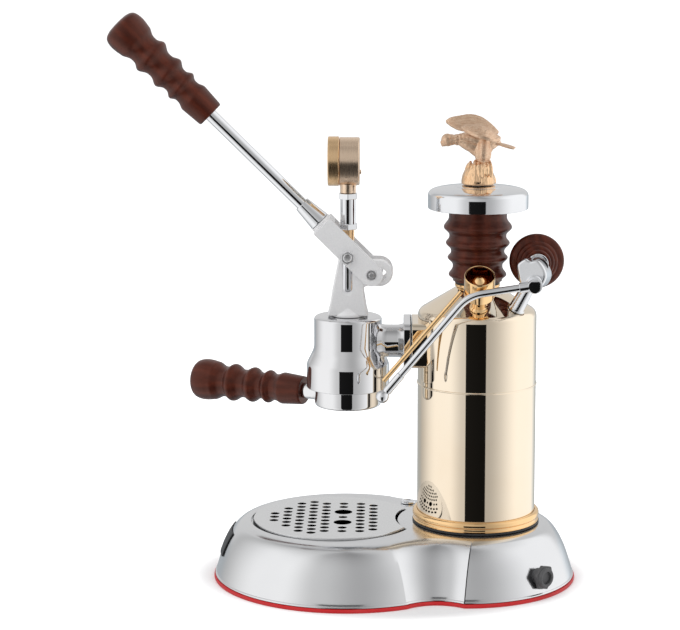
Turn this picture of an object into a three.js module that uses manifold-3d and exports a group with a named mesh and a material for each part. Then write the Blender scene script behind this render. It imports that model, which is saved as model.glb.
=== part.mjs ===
// Lever espresso machine: a domed boiler and a piston group on a round-ended base.
// Millimetres, +Z up. The lever and the portafilter point to -X, the boiler stands at +X,
// and z = 0 is the table. Each moving assembly is a nested group at its own pivot.

import * as THREE from 'three';
import { mergeVertices } from 'three/addons/utils/BufferGeometryUtils.js';
import Module from 'manifold-3d';

const wasm = await Module();
wasm.setup();

// Clearances and section counts
const gap = 0.3;
const slideGap = 0.35;
const overrun = 2;
const roundSides = 32;
const midSides = 20;
const smallSides = 14;
const tinySides = 8;
const drillSides = 6;
const grateHoleSteps = 4;

// Places of the two upright axes along X
const boilerX = 110.5;
const groupReach = 106.8;
const groupX = boilerX - groupReach;

// Base casing
const baseHeight = 48;
const rimHeight = 3.5;
const shellWall = 1.6;
const frontRadius = 108.5;
const frontOffset = 1.7;
const rearRadius = 93;
const rearOffset = 12;
const waistRadius = 66.5;
const waistBite = 3.5;
const wallInset = 25;
const lipOut = 0.9;
const lipHeight = 1.7;
const rimRubberWidth = 5;
const bottomPlateThickness = 1.5;
const wallCurveShares = [[0.13, 0], [0.22, 0.06], [0.34, 0.13], [0.48, 0.21], [0.62, 0.32], [0.75, 0.45],
  [0.875, 0.61], [0.955, 0.79], [1, 1]];

// Drip tray and grate
const grateRadius = 67.5;
const grateOffset = 119;
const grateCutRadius = 66.3;
const grateThickness = 1.6;
const trayWall = 1.2;
const trayRim = 1.2;
const trayLip = 4.5;
const trayDepth = 24;
const holeDiameter = 7;
const bigHoleDiameter = 15;
const holeRowPitch = 10.7;
const holeColumnPitch = 10.7;
const bigHolePitch = 16.2;
const bigColumnGap = 14.6;
const holeCounts = [3, 6, 9, 10, 9];
const rearHoleCounts = [9, 8];
const firstColumnShare = 0.73;
const bigColumnSmallShares = [-2.66, -2, 0, 2, 2.66];

// Base trim: front plate, round button, cable gland and power switch
const frontPlateHalfAngle = 12 * Math.PI / 180;
const frontPlateLow = 20.5;
const frontPlateHigh = 39.5;
const frontPlateThickness = 0.9;
const buttonDiameter = 12.8;
const buttonHeight = 1.6;
const buttonX = 54.4;
const buttonY = 51.8;
const glandAngle = -46 * Math.PI / 180;
const glandHeight = 18.4;
const glandFlats = 18.4;
const glandLength = 9;
const glandThread = 6.4;
const glandBore = 5;
const glandStandoff = 3.6;
const glandTail = 9;
const switchAngle = 62 * Math.PI / 180;
const switchHeight = 21;
const switchTilt = 14 * Math.PI / 180;
const switchWidth = 30;
const switchTall = 13.5;
const bezelRim = 2;
const bezelProud = 2;
const bezelDepth = 13;

// Boiler
const boilerRadius = 49;
const boilerWall = 1.6;
const boilerFoot = 49.9;
const shoulderHeight = 226;
const shoulderRound = 7;
const coneAngle = 32 * Math.PI / 180;
const neckRadius = 17.6;
const seamHeight = 165.5;
const seamRadius = 0.7;
const neckHeight = 199.8;
const fillerBore = 13;
const collarRadius = 18.7;
const collarHeight = 3.38;
const elementHole = 22;
const footRingRadius = 52.7;
const footRingHeight = 8.6;
const footBead = 2.4;
const footGasketHeight = 1.6;

// Heating element
const elementFlange = 30;
const elementFlangeThickness = 3;
const elementLoopRadius = 16;
const elementLegAngle = 35 * Math.PI / 180;
const elementRod = 4;
const elementHeight = 26;
const elementStudLength = 12;

// Boiler cap: wooden grip under a chrome disc
const gripBore = 5.4;
const stemRadius = 5;
const plugRadius = 12.4;
const plugDepth = 14;
const capGasketThickness = 1.6;
const discRadius = 41.3;
const discHeight = 15.6;
const discDome = 4.2;
const discWall = 2.4;
const discRound = 6.5;
const discGrooveRadius = 19.3;
const gripRadius = 28.1;
const gripLength = 60.2;
const gripCrestShares = [[0, 0.69], [0.01, 0.72], [0.09, 0.847], [0.213, 0.73], [0.33, 0.883], [0.41, 0.783],
  [0.53, 0.936], [0.624, 0.836], [0.747, 1], [0.9, 0.85], [1, 0.9]];

// Eagle finial
const eagleHeight = 57;
const eagleBaseRadius = 14;

// Safety valve and its discharge pipe
const valveFootRadius = 36;
const valveNeckRadius = 5.8;
const valveNeckLength = 13.5;
const valveRadius = 12.5;
const valveLength = 21.8;
const valveWall = 1.1;
const valveCupDepth = 10;
const pipeRadius = 2;
const pipeBore = 1.3;
const pipeLength = 98;
const pipeStartHeight = 4.5;
const pipeSlope = 50.2 * Math.PI / 180;
const pipeToe = 3.5 * Math.PI / 180;

// Steam tap, swivel and wand
const tapFootRadius = 40;
const tapFootAngle = -40 * Math.PI / 180;
const tapNeckLength = 28;
const tapNeckFootRadius = 6.4;
const tapNeckTopRadius = 5.2;
const tapCentreX = 44.5;
const tapCentreRise = 38.3;
const tapBack = 30;
const tapDepth = 20;
const tapWidth = 24.6;
const tapTall = 23.8;
const spindleX = 48.2;
const spindleRise = 42.5;
const spindleRadius = 3;
const ferruleRadius = 8.6;
const ferruleLength = 4;
const knobRadius = 22.5;
const knobLength = 19;
const swivelX = 43.5;
const swivelRise = 31.8;
const swivelRadius = 6;
const swivelLength = 14;
const bossLength = 5.4;
const bossRadius = 6.4;
const wandPlane = 65.5;
const wandRadius = 3;
const wandCollarRadius = 4.2;
const wandCollarLength = 6.5;
const wandReach = 41.5;
const wandDrop = 72;
const wandBend = 24;
const wandTilt = 9 * Math.PI / 180;
const wandFall = 50.3 * Math.PI / 180;
const nozzleRadius = 5.2;
const nozzleLength = 28;
const nozzleBore = 1;

// Sight glass on the far side of the boiler
const sightLow = 84;
const sightDrop = 36;
const sightStandoff = 13;
const sightStub = 6.5;
const sightNut = 8.5;
const sightNutLength = 13;
const sightTube = 5;
const sightTubeWall = 1.2;
const shieldRadius = 9;
const shieldWall = 1;

// Group: cylinder with bell, neck and flange; heights count from the neck's axis
const groupRadius = 28.06;
const groupTop = 21.2;
const groupRound = 3;
const groupBore = 22.4;
const groupCeiling = 14.8;
const bellRadius = 34.2;
const bellBottom = -38.8;
const bellTop = -22.8;
const flareTop = -10.8;
const bellCorner = 1.5;
const lugFloor = 3.6;
const lugRadius = 29.8;
const lugAngle = 22 * Math.PI / 180;
const lugMouthRadius = 26.6;
const unlockTurn = 60 * Math.PI / 180;
const seatHeight = -27.2;
const neckPipe = 13.7;
const neckBore = 6;
const flangeTall = 37;
const flangeWide = 52;
const flangeThickness = 5.7;
const flangeFace = 55.1;
const flangeCorner = 5;
const flangeGasket = 0.9;
const boltOffset = 19;
const boltRadius = 3;
const boltFlats = 10;
const boltHead = 4;
const gasketInner = 24.6;
const gasketHeight = 3.5;
const screenThickness = 1.2;
const screenHole = 1.8;
const screenRings = [[6, 0.32], [12, 0.68]];

// Tower: two slotted cheeks that guide the rod pin and the fulcrum roller
const towerBaseRadius = 12.9;
const towerRing = 13.6;
const towerRingHeight = 4;
const towerFoot = 16.8;
const towerNeck = 7.6;
const towerNeckHeight = 69.2;
const towerTop = 81.2;
const towerFloor = 36.2;
const towerHalf = 11.7;
const cheekWall = 2.9;
const earX = 25.9;
const earZ = 58.8;
const earRadius = 11.2;
const panelDepth = 0.8;

// Lever trammel: rod pin on the piston rod, fulcrum pin in the ear
const rodPinZ = 72.35;
const fulcrumX = 19.5;
const fulcrumZ = 57.6;
const rodPinRadius = 3;
const rollerRadius = 4;
const fulcrumPinRadius = 2.2;
const pinSlotWidth = 7.4;
const rollerSlotHeight = 9.4;
const pinTravelDown = 26.2;
const pinTravelUp = 1.2;
const rollerSlotFrom = 17.8;
const rollerSlotTo = 27.2;

// Piston and rod
const rodRadius = 5;
const rodTop = 84.2;
const pistonBottom = 0.7;
const pistonHeight = 11.5;
const pistonRadius = 21.4;
const sealRadius = 22.1;
const sealSection = 2.6;

// Pressure gauge on the rod
const gaugeZ = 149.8;
const gaugeRadius = 20.35;
const gaugeFront = 16.5;
const gaugeSplit = 7;
const gaugeBack = 9.6;
const gaugeWall = 1.2;
const bezelLip = 2.4;
const dialThickness = 0.8;
const glassThickness = 1.4;
const needleLength = 14;
const needleWidth = 1.6;
const needlePin = 0.8;
const neckPieceRadius = 5.2;
const tubeBottom = 93.5;
const tubeHex = 14.6;
const tubeHexHeight = 4.7;
const tubeRadius = 6.35;
const tubeTop = 123.4;
const socketRadius = 6.5;

// Lever
const leverAngle = 44.6 * Math.PI / 180;
const plateWidth = 18.9;
const plateThickness = 3;
const plateInner = 12.2;
const plateEnd = 57.2;
const bridgeLength = 6;
const bridgeNeckLength = 2.7;
const bridgeNeckRadius = 9.3;
const sleeveLength = 20.6;
const sleeveSmall = 6.6;
const sleeveBig = 9;
const leverRodRadius = 5.2;
const leverHandleStart = 185.4;
const leverHandleLength = 106.6;
const leverRodInsert = 24;
const clipRadius = 4;
const clipThickness = 0.6;
const boltHeadFlats = 9.8;
const boltHeadHeight = 4;

// Turned handles: length shares from the outer end and radius shares of the bulb
const bulbRadius = 17.4;
const handleShares = [[0, 0], [0.003, 0.42], [0.02, 0.77], [0.045, 0.93], [0.09, 0.995], [0.14, 0.99],
  [0.19, 0.94]];
const handleCrestShares = [[0.19, 0.94], [0.29, 0.745], [0.362, 0.91], [0.458, 0.685], [0.541, 0.85],
  [0.622, 0.638], [0.683, 0.797], [0.742, 0.64], [0.82, 0.762]];
const handleTailShares = [[0.82, 0.762], [0.91, 0.72], [0.98, 0.69], [1, 0.64]];
const crestSharpness = 1.45;
const stepsPerRib = 3;

// Portafilter
const cupBottom = -54.3;
const cupRadius = 27.5;
const cupNeck = 26;
const cupBore = 24.4;
const cupRimTop = -32.4;
const cupMouth = 21;
const cupFloor = 2.5;
const basketRadius = 23.8;
const basketWall = 0.8;
const basketDepth = 18.5;
const basketRimHeight = 0.8;
const basketHole = 1.8;
const basketRings = [[6, 0.34], [10, 0.68]];
const portafilterAngle = -27 * Math.PI / 180;
const portafilterHeight = -46.4;
const stubRadius = 6.6;
const stubEnd = 41;
const handleLength = leverHandleLength;
const handleInsert = 22;
const tangRadius = 4.6;

// Materials
const chrome = { color: 0xd9dbde, roughness: 0.08, metalness: 1 };
const gold = { color: 0xe3b770, roughness: 0.1, metalness: 1 };
const brass = { color: 0xc79a5c, roughness: 0.35, metalness: 1 };
const steel = { color: 0xb9bcc0, roughness: 0.35, metalness: 1 };
const wood = { color: 0x62362c, roughness: 0.5, metalness: 0 };
const rubber = { color: 0x222428, roughness: 0.7, metalness: 0 };
const redRubber = { color: 0xc41f26, roughness: 0.6, metalness: 0 };
const blackPlastic = { color: 0x2a2b2d, roughness: 0.5, metalness: 0 };
const enamel = { color: 0xf3f1ea, roughness: 0.5, metalness: 0 };
const glass = { color: 0xe8f0f2, roughness: 0.03, metalness: 0, transparent: true, opacity: 0.3 };

// Mesh and geometry helpers

function piece(name, geometry, finish) {
  const mesh = new THREE.Mesh(geometry, new THREE.MeshStandardMaterial(finish));
  mesh.name = name;
  return mesh;
}

function solidOf(geometry) {
  const bare = geometry.clone();
  bare.deleteAttribute('normal');
  bare.deleteAttribute('uv');
  const merged = mergeVertices(bare);
  return new wasm.Manifold(new wasm.Mesh({
    numProp: 3,
    vertProperties: new Float32Array(merged.attributes.position.array),
    triVerts: new Uint32Array(merged.index.array),
  }));
}

function geometryOf(solid) {
  const mesh = solid.getMesh();
  const geometry = new THREE.BufferGeometry();
  geometry.setAttribute('position', new THREE.BufferAttribute(mesh.vertProperties, mesh.numProp));
  geometry.setIndex(new THREE.BufferAttribute(mesh.triVerts, 1));
  geometry.computeVertexNormals();
  return geometry;
}

function join(first, ...others) {
  let solid = solidOf(first);
  for (const other of others) solid = solid.add(solidOf(other));
  return geometryOf(solid);
}

function cut(first, ...tools) {
  let solid = solidOf(first);
  for (const tool of tools) solid = solid.subtract(solidOf(tool));
  return geometryOf(solid);
}

// Body of revolution about Z from [radius, z] points listed up the outside
function turned(profile, sides) {
  const points = profile.map(([radius, z]) => new THREE.Vector2(radius, z));
  return new THREE.LatheGeometry(points, sides).rotateX(Math.PI / 2);
}

// Hollow body of revolution from a closed loop of [radius, z] points
function turnedRing(profile, sides) {
  return turned([...profile, profile[0]], sides);
}

function rod(radius, from, to, sides = smallSides) {
  return new THREE.CylinderGeometry(radius, radius, to - from, sides)
    .rotateX(Math.PI / 2)
    .translate(0, 0, (from + to) / 2);
}

const hexSides = 6;
const hexCorner = 1 / (2 * Math.cos(Math.PI / hexSides));

function hexRod(flats, from, to) {
  return rod(flats * hexCorner, from, to, hexSides);
}

function block(sizeX, sizeY, sizeZ, x = 0, y = 0, z = 0) {
  return new THREE.BoxGeometry(sizeX, sizeY, sizeZ).translate(x, y, z);
}

// Upright plate: the outline lies in XY and the thickness runs up from z
function plate(shape, thickness, z, steps = tinySides) {
  return new THREE.ExtrudeGeometry(shape, { depth: thickness, bevelEnabled: false, curveSegments: steps })
    .translate(0, 0, z);
}

// Cheek plate: the outline lies in XZ and the thickness is centred on y
function cheek(shape, thickness, y, steps = tinySides) {
  return new THREE.ExtrudeGeometry(shape, { depth: thickness, bevelEnabled: false, curveSegments: steps })
    .rotateX(Math.PI / 2)
    .translate(0, y + thickness / 2, 0);
}

function alongX(geometry) {
  return geometry.rotateY(Math.PI / 2);
}

function alongY(geometry) {
  return geometry.rotateX(-Math.PI / 2);
}

// Turn a geometry's +Z to a direction and set it at a point
function aimed(geometry, origin, direction) {
  const upward = new THREE.Vector3(0, 0, 1);
  const turn = new THREE.Quaternion().setFromUnitVectors(upward, direction.clone().normalize());
  return geometry.applyQuaternion(turn).translate(origin.x, origin.y, origin.z);
}

// Stadium outline between two points of equal height or equal side
function slotShape(x1, z1, x2, z2, radius) {
  const start = Math.atan2(z2 - z1, x2 - x1);
  const shape = new THREE.Shape();
  shape.absarc(x2, z2, radius, start - Math.PI / 2, start + Math.PI / 2);
  shape.absarc(x1, z1, radius, start + Math.PI / 2, start + 3 * Math.PI / 2);
  return shape;
}

function roundedRectangle(width, height, corner) {
  const shape = new THREE.Shape();
  const x = width / 2 - corner;
  const y = height / 2 - corner;
  shape.absarc(x, -y, corner, -Math.PI / 2, 0);
  shape.absarc(x, y, corner, 0, Math.PI / 2);
  shape.absarc(-x, y, corner, Math.PI / 2, Math.PI);
  shape.absarc(-x, -y, corner, Math.PI, 3 * Math.PI / 2);
  return shape;
}

// Ribbed profile: soft valleys and tighter crests through [along, radius] extremes
function ribbed(extremes, length, radius) {
  const points = [];
  for (let i = 0; i < extremes.length - 1; i++) {
    const [a, ra] = extremes[i];
    const [b, rb] = extremes[i + 1];
    for (let step = 0; step < stepsPerRib; step++) {
      const share = step / stepsPerRib;
      const fromValley = rb > ra ? share : 1 - share;
      const rise = Math.pow((1 - Math.cos(Math.PI * fromValley)) / 2, crestSharpness);
      const low = Math.min(ra, rb);
      const high = Math.max(ra, rb);
      points.push([radius * (low + (high - low) * rise), length * (a + (b - a) * share)]);
    }
  }
  return points;
}

// Turned wooden handle along +Z, inner end at z = 0, bored for its rod
function turnedHandle(length, bore, boreDepth) {
  const place = ([along, radius]) => [radius * bulbRadius, along * length];
  const fromOuter = [
    ...handleShares.slice(0, -1).map(place),
    ...ribbed(handleCrestShares, length, bulbRadius),
    ...handleTailShares.map(place),
  ];
  const outside = fromOuter.map(([radius, along]) => [radius, length - along]).reverse();
  return turned([[0, boreDepth], [bore, boreDepth], [bore, 0], ...outside], smallSides);
}

// Point where circle a meets circle b, on the side that turning from a's centre line by sign gives
function meetingAngle(ax, ay, aRadius, bx, by, bRadius, sign) {
  const distance = Math.hypot(bx - ax, by - ay);
  const spread = Math.acos((distance ** 2 + aRadius ** 2 - bRadius ** 2) / (2 * distance * aRadius));
  return Math.atan2(by - ay, bx - ax) + sign * spread;
}

function arcPoints(x, y, radius, from, to, steps) {
  const points = [];
  for (let i = 0; i <= steps; i++) {
    const angle = from + (to - from) * i / steps;
    points.push(new THREE.Vector2(x + radius * Math.cos(angle), y + radius * Math.sin(angle)));
  }
  return points;
}

// Base

const frontX = groupX - frontOffset;
const rearX = boilerX - rearOffset;
const waistReach = frontRadius + waistRadius;
const waistAngle = meetingAngle(frontX, 0, waistReach, rearX, 0, rearRadius + waistRadius - waistBite, 1);
const waistX = frontX + waistReach * Math.cos(waistAngle);
const waistY = waistReach * Math.sin(waistAngle);
const frontSteps = 12;
const waistSteps = 4;
const rearSteps = 7;

// Plan of the base drawn in by an inset: front circle, hollow waist and rear circle, counterclockwise
function baseOutline(inset) {
  const front = frontRadius - inset;
  const waist = waistRadius + inset;
  const rear = rearRadius - inset;
  const crease = meetingAngle(rearX, 0, rear, waistX, waistY, waist, -1);
  const creaseX = rearX + rear * Math.cos(crease);
  const creaseY = rear * Math.sin(crease);
  const waistEnd = Math.atan2(creaseY - waistY, creaseX - waistX);
  const half = [
    ...arcPoints(rearX, 0, rear, 0, crease, rearSteps),
    ...arcPoints(waistX, waistY, waist, waistEnd, waistAngle - Math.PI, waistSteps).slice(1),
    ...arcPoints(frontX, 0, front, waistAngle, Math.PI, frontSteps).slice(1),
  ];
  const mirrored = half.slice(1, -1).map((point) => new THREE.Vector2(point.x, -point.y)).reverse();
  return [...half, ...mirrored];
}

// Closed body through level rings of equal point counts, listed from the bottom up
function lofted(rings) {
  const count = rings[0].points.length;
  const positions = [];
  for (const { points, z } of rings) {
    for (const point of points) positions.push(point.x, point.y, z);
  }
  const index = [];
  for (let ring = 0; ring < rings.length - 1; ring++) {
    for (let i = 0; i < count; i++) {
      const a = ring * count + i;
      const b = ring * count + (i + 1) % count;
      index.push(a, b, b + count, a, b + count, a + count);
    }
  }
  const top = (rings.length - 1) * count;
  for (const [a, b, c] of THREE.ShapeUtils.triangulateShape(rings[0].points, [])) index.push(a, c, b);
  for (const [a, b, c] of THREE.ShapeUtils.triangulateShape(rings[rings.length - 1].points, [])) {
    index.push(top + a, top + b, top + c);
  }
  const geometry = new THREE.BufferGeometry();
  geometry.setAttribute('position', new THREE.Float32BufferAttribute(positions, 3));
  geometry.setIndex(index);
  return geometry;
}

function wallInsetAt(z) {
  const share = z / baseHeight;
  for (let i = 1; i < wallCurveShares.length; i++) {
    const [z1, in1] = wallCurveShares[i - 1];
    const [z2, in2] = wallCurveShares[i];
    if (share <= z2) return wallInset * (in1 + (in2 - in1) * Math.max(0, share - z1) / (z2 - z1));
  }
  return wallInset;
}

function baseSkin() {
  const rings = [
    { points: baseOutline(-lipOut), z: rimHeight },
    { points: baseOutline(-lipOut), z: rimHeight + lipHeight * 0.7 },
  ];
  for (const [height, inset] of wallCurveShares) {
    rings.push({ points: baseOutline(inset * wallInset), z: height * baseHeight });
  }
  return lofted(rings);
}

function baseHollow() {
  const rings = [{ points: baseOutline(shellWall), z: rimHeight - overrun }];
  for (const [height, inset] of wallCurveShares.filter((share, index) => index % 2 === 0)) {
    rings.push({ points: baseOutline(inset * wallInset + shellWall), z: height * (baseHeight - shellWall) });
  }
  return lofted(rings);
}

// Plan of the grate about its own centre: a circle cut by the arc that clears the boiler
function grateShape(inset) {
  const radius = grateRadius - inset;
  const cutRadius = grateCutRadius + inset;
  const corner = meetingAngle(0, 0, radius, grateOffset, 0, cutRadius, 1);
  const cornerY = radius * Math.sin(corner);
  const swing = Math.asin(cornerY / cutRadius);
  return new THREE.Shape([
    ...arcPoints(0, 0, radius, corner, 2 * Math.PI - corner, roundSides),
    ...arcPoints(grateOffset, 0, cutRadius, Math.PI + swing, Math.PI - swing, tinySides).slice(1, -1),
  ]);
}

const grateX = boilerX - grateOffset;
const grateTop = baseHeight;
const grateBottom = grateTop - grateThickness;
const trayRimTop = grateBottom - gap;
const trayRimBottom = trayRimTop - trayRim;
const lipTop = trayRimBottom - gap;
const lipBottom = lipTop - shellWall;

function wallPoint(angle, z) {
  const radius = rearRadius - wallInsetAt(z);
  return new THREE.Vector3(rearX + radius * Math.cos(angle), radius * Math.sin(angle), z);
}

function makeBaseShell() {
  const well = plate(grateShape(-gap - shellWall), grateTop - lipBottom - shellWall / 2, lipBottom);
  const recess = plate(grateShape(-gap), grateTop - lipTop + overrun, lipTop);
  const opening = plate(grateShape(trayLip), lipTop - lipBottom + 2 * overrun, lipBottom - overrun);
  for (const geometry of [well, recess, opening]) geometry.translate(grateX, 0, 0);
  const hollowed = cut(baseSkin(), baseHollow());
  const withWell = cut(join(hollowed, well), recess, opening);
  const out = new THREE.Vector3(Math.cos(glandAngle), Math.sin(glandAngle), 0);
  const glandAt = wallPoint(glandAngle, glandHeight);
  const glandHole = aimed(rod(glandThread + gap, -glandTail - overrun, glandLength), glandAt, out);
  const switchHole = block(switchTall, switchWidth, bezelDepth).applyMatrix4(switchFrame().matrix);
  const leadHole = rod(elementHole + gap, baseHeight - shellWall - overrun, baseHeight + overrun, midSides)
    .translate(boilerX, 0, 0);
  return cut(withWell, glandHole, switchHole, leadHole);
}

// Frame of the switch: local +Z points out of the rear wall and local Y runs along it
function switchFrame() {
  const frame = new THREE.Group();
  frame.position.copy(wallPoint(switchAngle, switchHeight));
  frame.rotation.set(0, Math.PI / 2 - switchTilt, switchAngle, 'ZYX');
  frame.updateMatrix();
  return frame;
}

function makeBaseGasket() {
  const outer = lofted([
    { points: baseOutline(-lipOut), z: 0 },
    { points: baseOutline(-lipOut), z: rimHeight - gap },
  ]);
  const inner = lofted([
    { points: baseOutline(rimRubberWidth), z: -overrun },
    { points: baseOutline(rimRubberWidth), z: rimHeight + overrun },
  ]);
  return cut(outer, inner);
}

function makeBottomPlate() {
  const outline = baseOutline(rimRubberWidth + gap);
  return lofted([{ points: outline, z: gap }, { points: outline, z: gap + bottomPlateThickness }]);
}

function makeDripTray() {
  const rimPlate = plate(grateShape(gap), trayRim, trayRimBottom);
  const pan = plate(grateShape(trayLip + gap), trayDepth, trayRimTop - trayDepth);
  const inside = plate(grateShape(trayLip + gap + trayWall), trayDepth, trayRimTop - trayDepth + trayWall);
  return cut(join(rimPlate, pan), inside).translate(grateX, 0, 0);
}

function grateHoles() {
  const holes = [];
  const addColumn = (x, count) => {
    for (let i = 0; i < count; i++) holes.push([x, (i - (count - 1) / 2) * holeRowPitch, holeDiameter / 2]);
  };
  let x = -grateRadius * firstColumnShare;
  for (const count of holeCounts) {
    addColumn(x, count);
    x += holeColumnPitch;
  }
  x += bigColumnGap - holeColumnPitch;
  for (const share of bigColumnSmallShares) holes.push([x, share * bigHolePitch, holeDiameter / 2]);
  for (const side of [-1, 1]) holes.push([x, side * bigHolePitch, bigHoleDiameter / 2]);
  x += bigColumnGap;
  for (const count of rearHoleCounts) {
    addColumn(x, count);
    x += holeColumnPitch;
  }
  return holes;
}

function makeDripGrate() {
  const shape = grateShape(0);
  for (const [x, y, radius] of grateHoles()) {
    const hole = new THREE.Path();
    hole.absarc(x, y, radius, 0, 2 * Math.PI, true);
    shape.holes.push(hole);
  }
  return plate(shape, grateThickness, grateBottom, grateHoleSteps).translate(grateX, 0, 0);
}

// Blank plate bent round the nose of the base
function makeFrontPlate() {
  const between = wallCurveShares.map(([share]) => share * baseHeight)
    .filter((z) => z > frontPlateLow && z < frontPlateHigh);
  const levels = [frontPlateLow, ...between, frontPlateHigh];
  const steps = 8;
  const bar = (z, out) => {
    const radius = frontRadius - wallInsetAt(z) + out;
    return arcPoints(frontX, 0, radius, Math.PI - frontPlateHalfAngle, Math.PI + frontPlateHalfAngle, steps);
  };
  const rings = levels.map((z) => ({
    points: [...bar(z, gap + frontPlateThickness), ...bar(z, gap).reverse()],
    z,
  }));
  return lofted(rings);
}

function makeButton() {
  const radius = buttonDiameter / 2;
  return turned([
    [0, 0],
    [radius, 0],
    [radius, buttonHeight * 0.6],
    [radius * 0.86, buttonHeight],
    [0, buttonHeight],
  ], smallSides).translate(buttonX, buttonY, baseHeight + gap);
}

function makeCableGland() {
  const out = new THREE.Vector3(Math.cos(glandAngle), Math.sin(glandAngle), 0);
  const seat = wallPoint(glandAngle, glandHeight);
  const front = turned([
    [0, glandLength * 0.55],
    [glandFlats * 0.46, glandLength * 0.55],
    [glandFlats * 0.4, glandLength],
    [0, glandLength],
  ], smallSides);
  const nut = hexRod(glandFlats, glandStandoff, glandLength * 0.7);
  const body = join(nut, front, rod(glandThread, -glandTail, glandLength / 2));
  return aimed(cut(body, rod(glandBore, -glandTail - overrun, glandLength + overrun)), seat, out);
}

function makeSwitchBezel() {
  const middle = bezelProud - bezelDepth / 2;
  const rim = 2 * bezelRim;
  const box = block(switchTall - 2 * gap, switchWidth - 2 * gap, bezelDepth, 0, 0, middle);
  const frame = block(switchTall + rim, switchWidth + rim, bezelProud, 0, 0, 2 * gap + bezelProud / 2);
  const inside = block(switchTall - rim, switchWidth - rim, bezelDepth, 0, 0, middle + bezelRim);
  return cut(join(box, frame), inside);
}

const rockerHalf = switchWidth / 2 - bezelRim - slideGap;
const rockerThickness = switchTall - 2 * bezelRim - 2 * slideGap;
const rockerPivot = bezelProud * 0.25;

// Rocker about its pivot: a shallow V on top and a narrower foot below
function makeSwitchRocker() {
  const shape = new THREE.Shape([
    new THREE.Vector2(-rockerHalf * 0.84, -bezelDepth * 0.42),
    new THREE.Vector2(rockerHalf * 0.84, -bezelDepth * 0.42),
    new THREE.Vector2(rockerHalf * 0.985, bezelDepth * 0.23),
    new THREE.Vector2(0, bezelDepth * 0.12),
    new THREE.Vector2(-rockerHalf * 0.985, bezelDepth * 0.23),
  ]);
  return plate(shape, rockerThickness, -rockerThickness / 2)
    .rotateX(Math.PI / 2)
    .rotateZ(Math.PI / 2);
}

// Boiler

const coneTop = shoulderHeight + (boilerRadius - neckRadius) * Math.tan(coneAngle);
const collarTop = coneTop + collarHeight;
const gripTop = collarTop + capGasketThickness + gripLength;
const tapCentreZ = shoulderHeight + tapCentreRise;
const spindleZ = shoulderHeight + spindleRise;
const swivelZ = shoulderHeight + swivelRise;
const sightHigh = shoulderHeight - sightDrop;

function coneHeight(radius) {
  return shoulderHeight + (boilerRadius - radius) * Math.tan(coneAngle);
}

function shoulderArc(radius, drop) {
  const points = [];
  const steps = 4;
  const reach = shoulderRound * Math.tan((Math.PI / 2 - coneAngle) / 2);
  const centreR = radius - shoulderRound;
  const centreZ = shoulderHeight - reach - drop;
  for (let i = 0; i <= steps; i++) {
    const angle = (Math.PI / 2 - coneAngle) * i / steps;
    points.push([centreR + shoulderRound * Math.cos(angle), centreZ + shoulderRound * Math.sin(angle)]);
  }
  return points;
}

// Unit vector square to the cone at a plan angle
function coneNormal(angle) {
  return new THREE.Vector3(
    Math.sin(coneAngle) * Math.cos(angle),
    Math.sin(coneAngle) * Math.sin(angle),
    Math.cos(coneAngle),
  );
}

function conePoint(radius, angle) {
  return new THREE.Vector3(radius * Math.cos(angle), radius * Math.sin(angle), coneHeight(radius));
}

function makeBoilerShell() {
  const drop = boilerWall / Math.cos(coneAngle);
  const inside = boilerRadius - boilerWall;
  const shell = turnedRing([
    [elementHole, boilerFoot],
    [boilerRadius, boilerFoot],
    [boilerRadius, seamHeight - seamRadius],
    [boilerRadius + seamRadius, seamHeight],
    [boilerRadius, seamHeight + seamRadius],
    ...shoulderArc(boilerRadius, 0),
    [neckRadius, coneTop],
    [fillerBore, coneTop],
    [fillerBore, coneTop - boilerWall * 1.5],
    [neckRadius, coneTop - drop],
    [inside, coneHeight(inside) - drop],
    [inside, boilerFoot + boilerWall],
    [elementHole, boilerFoot + boilerWall],
  ], roundSides);
  const reach = flangeFace - boilerRadius + boilerWall * 3;
  const flange = plate(roundedRectangle(flangeTall, flangeWide, flangeCorner), reach, 0, tinySides / 3);
  const flangeAt = alongX(flange).translate(-flangeFace + flangeGasket + gap, 0, neckHeight);
  const core = rod(inside + boilerWall / 2, neckHeight - flangeTall, neckHeight + flangeTall, roundSides);
  const bore = alongX(rod(neckBore, -flangeFace - overrun, -inside + overrun)).translate(0, 0, neckHeight);
  const boltHole = () => alongX(rod(boltRadius + slideGap, -flangeFace - overrun, -boilerRadius * 0.93));
  const bolts = [-1, 1].map((side) => boltHole().translate(0, side * boltOffset, neckHeight));
  return cut(join(shell, cut(flangeAt, core)), bore, ...bolts);
}

function makeFootRing() {
  const bottom = boilerFoot;
  const top = bottom + footRingHeight;
  const inner = boilerRadius + gap;
  return turnedRing([
    [inner, bottom],
    [footRingRadius - 1.3 * gap, bottom],
    [footRingRadius - 1.3 * gap, top - 2 * footBead],
    [footRingRadius, top - 1.6 * footBead],
    [footRingRadius, top - 0.6 * footBead],
    [footRingRadius - 0.4 * footBead, top],
    [inner, top],
  ], roundSides);
}

function makeFootGasket() {
  const bottom = baseHeight + gap;
  return turnedRing([
    [elementFlange + gap, bottom],
    [footRingRadius, bottom],
    [footRingRadius, bottom + footGasketHeight - gap],
    [elementFlange + gap, bottom + footGasketHeight - gap],
  ], midSides);
}

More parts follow.
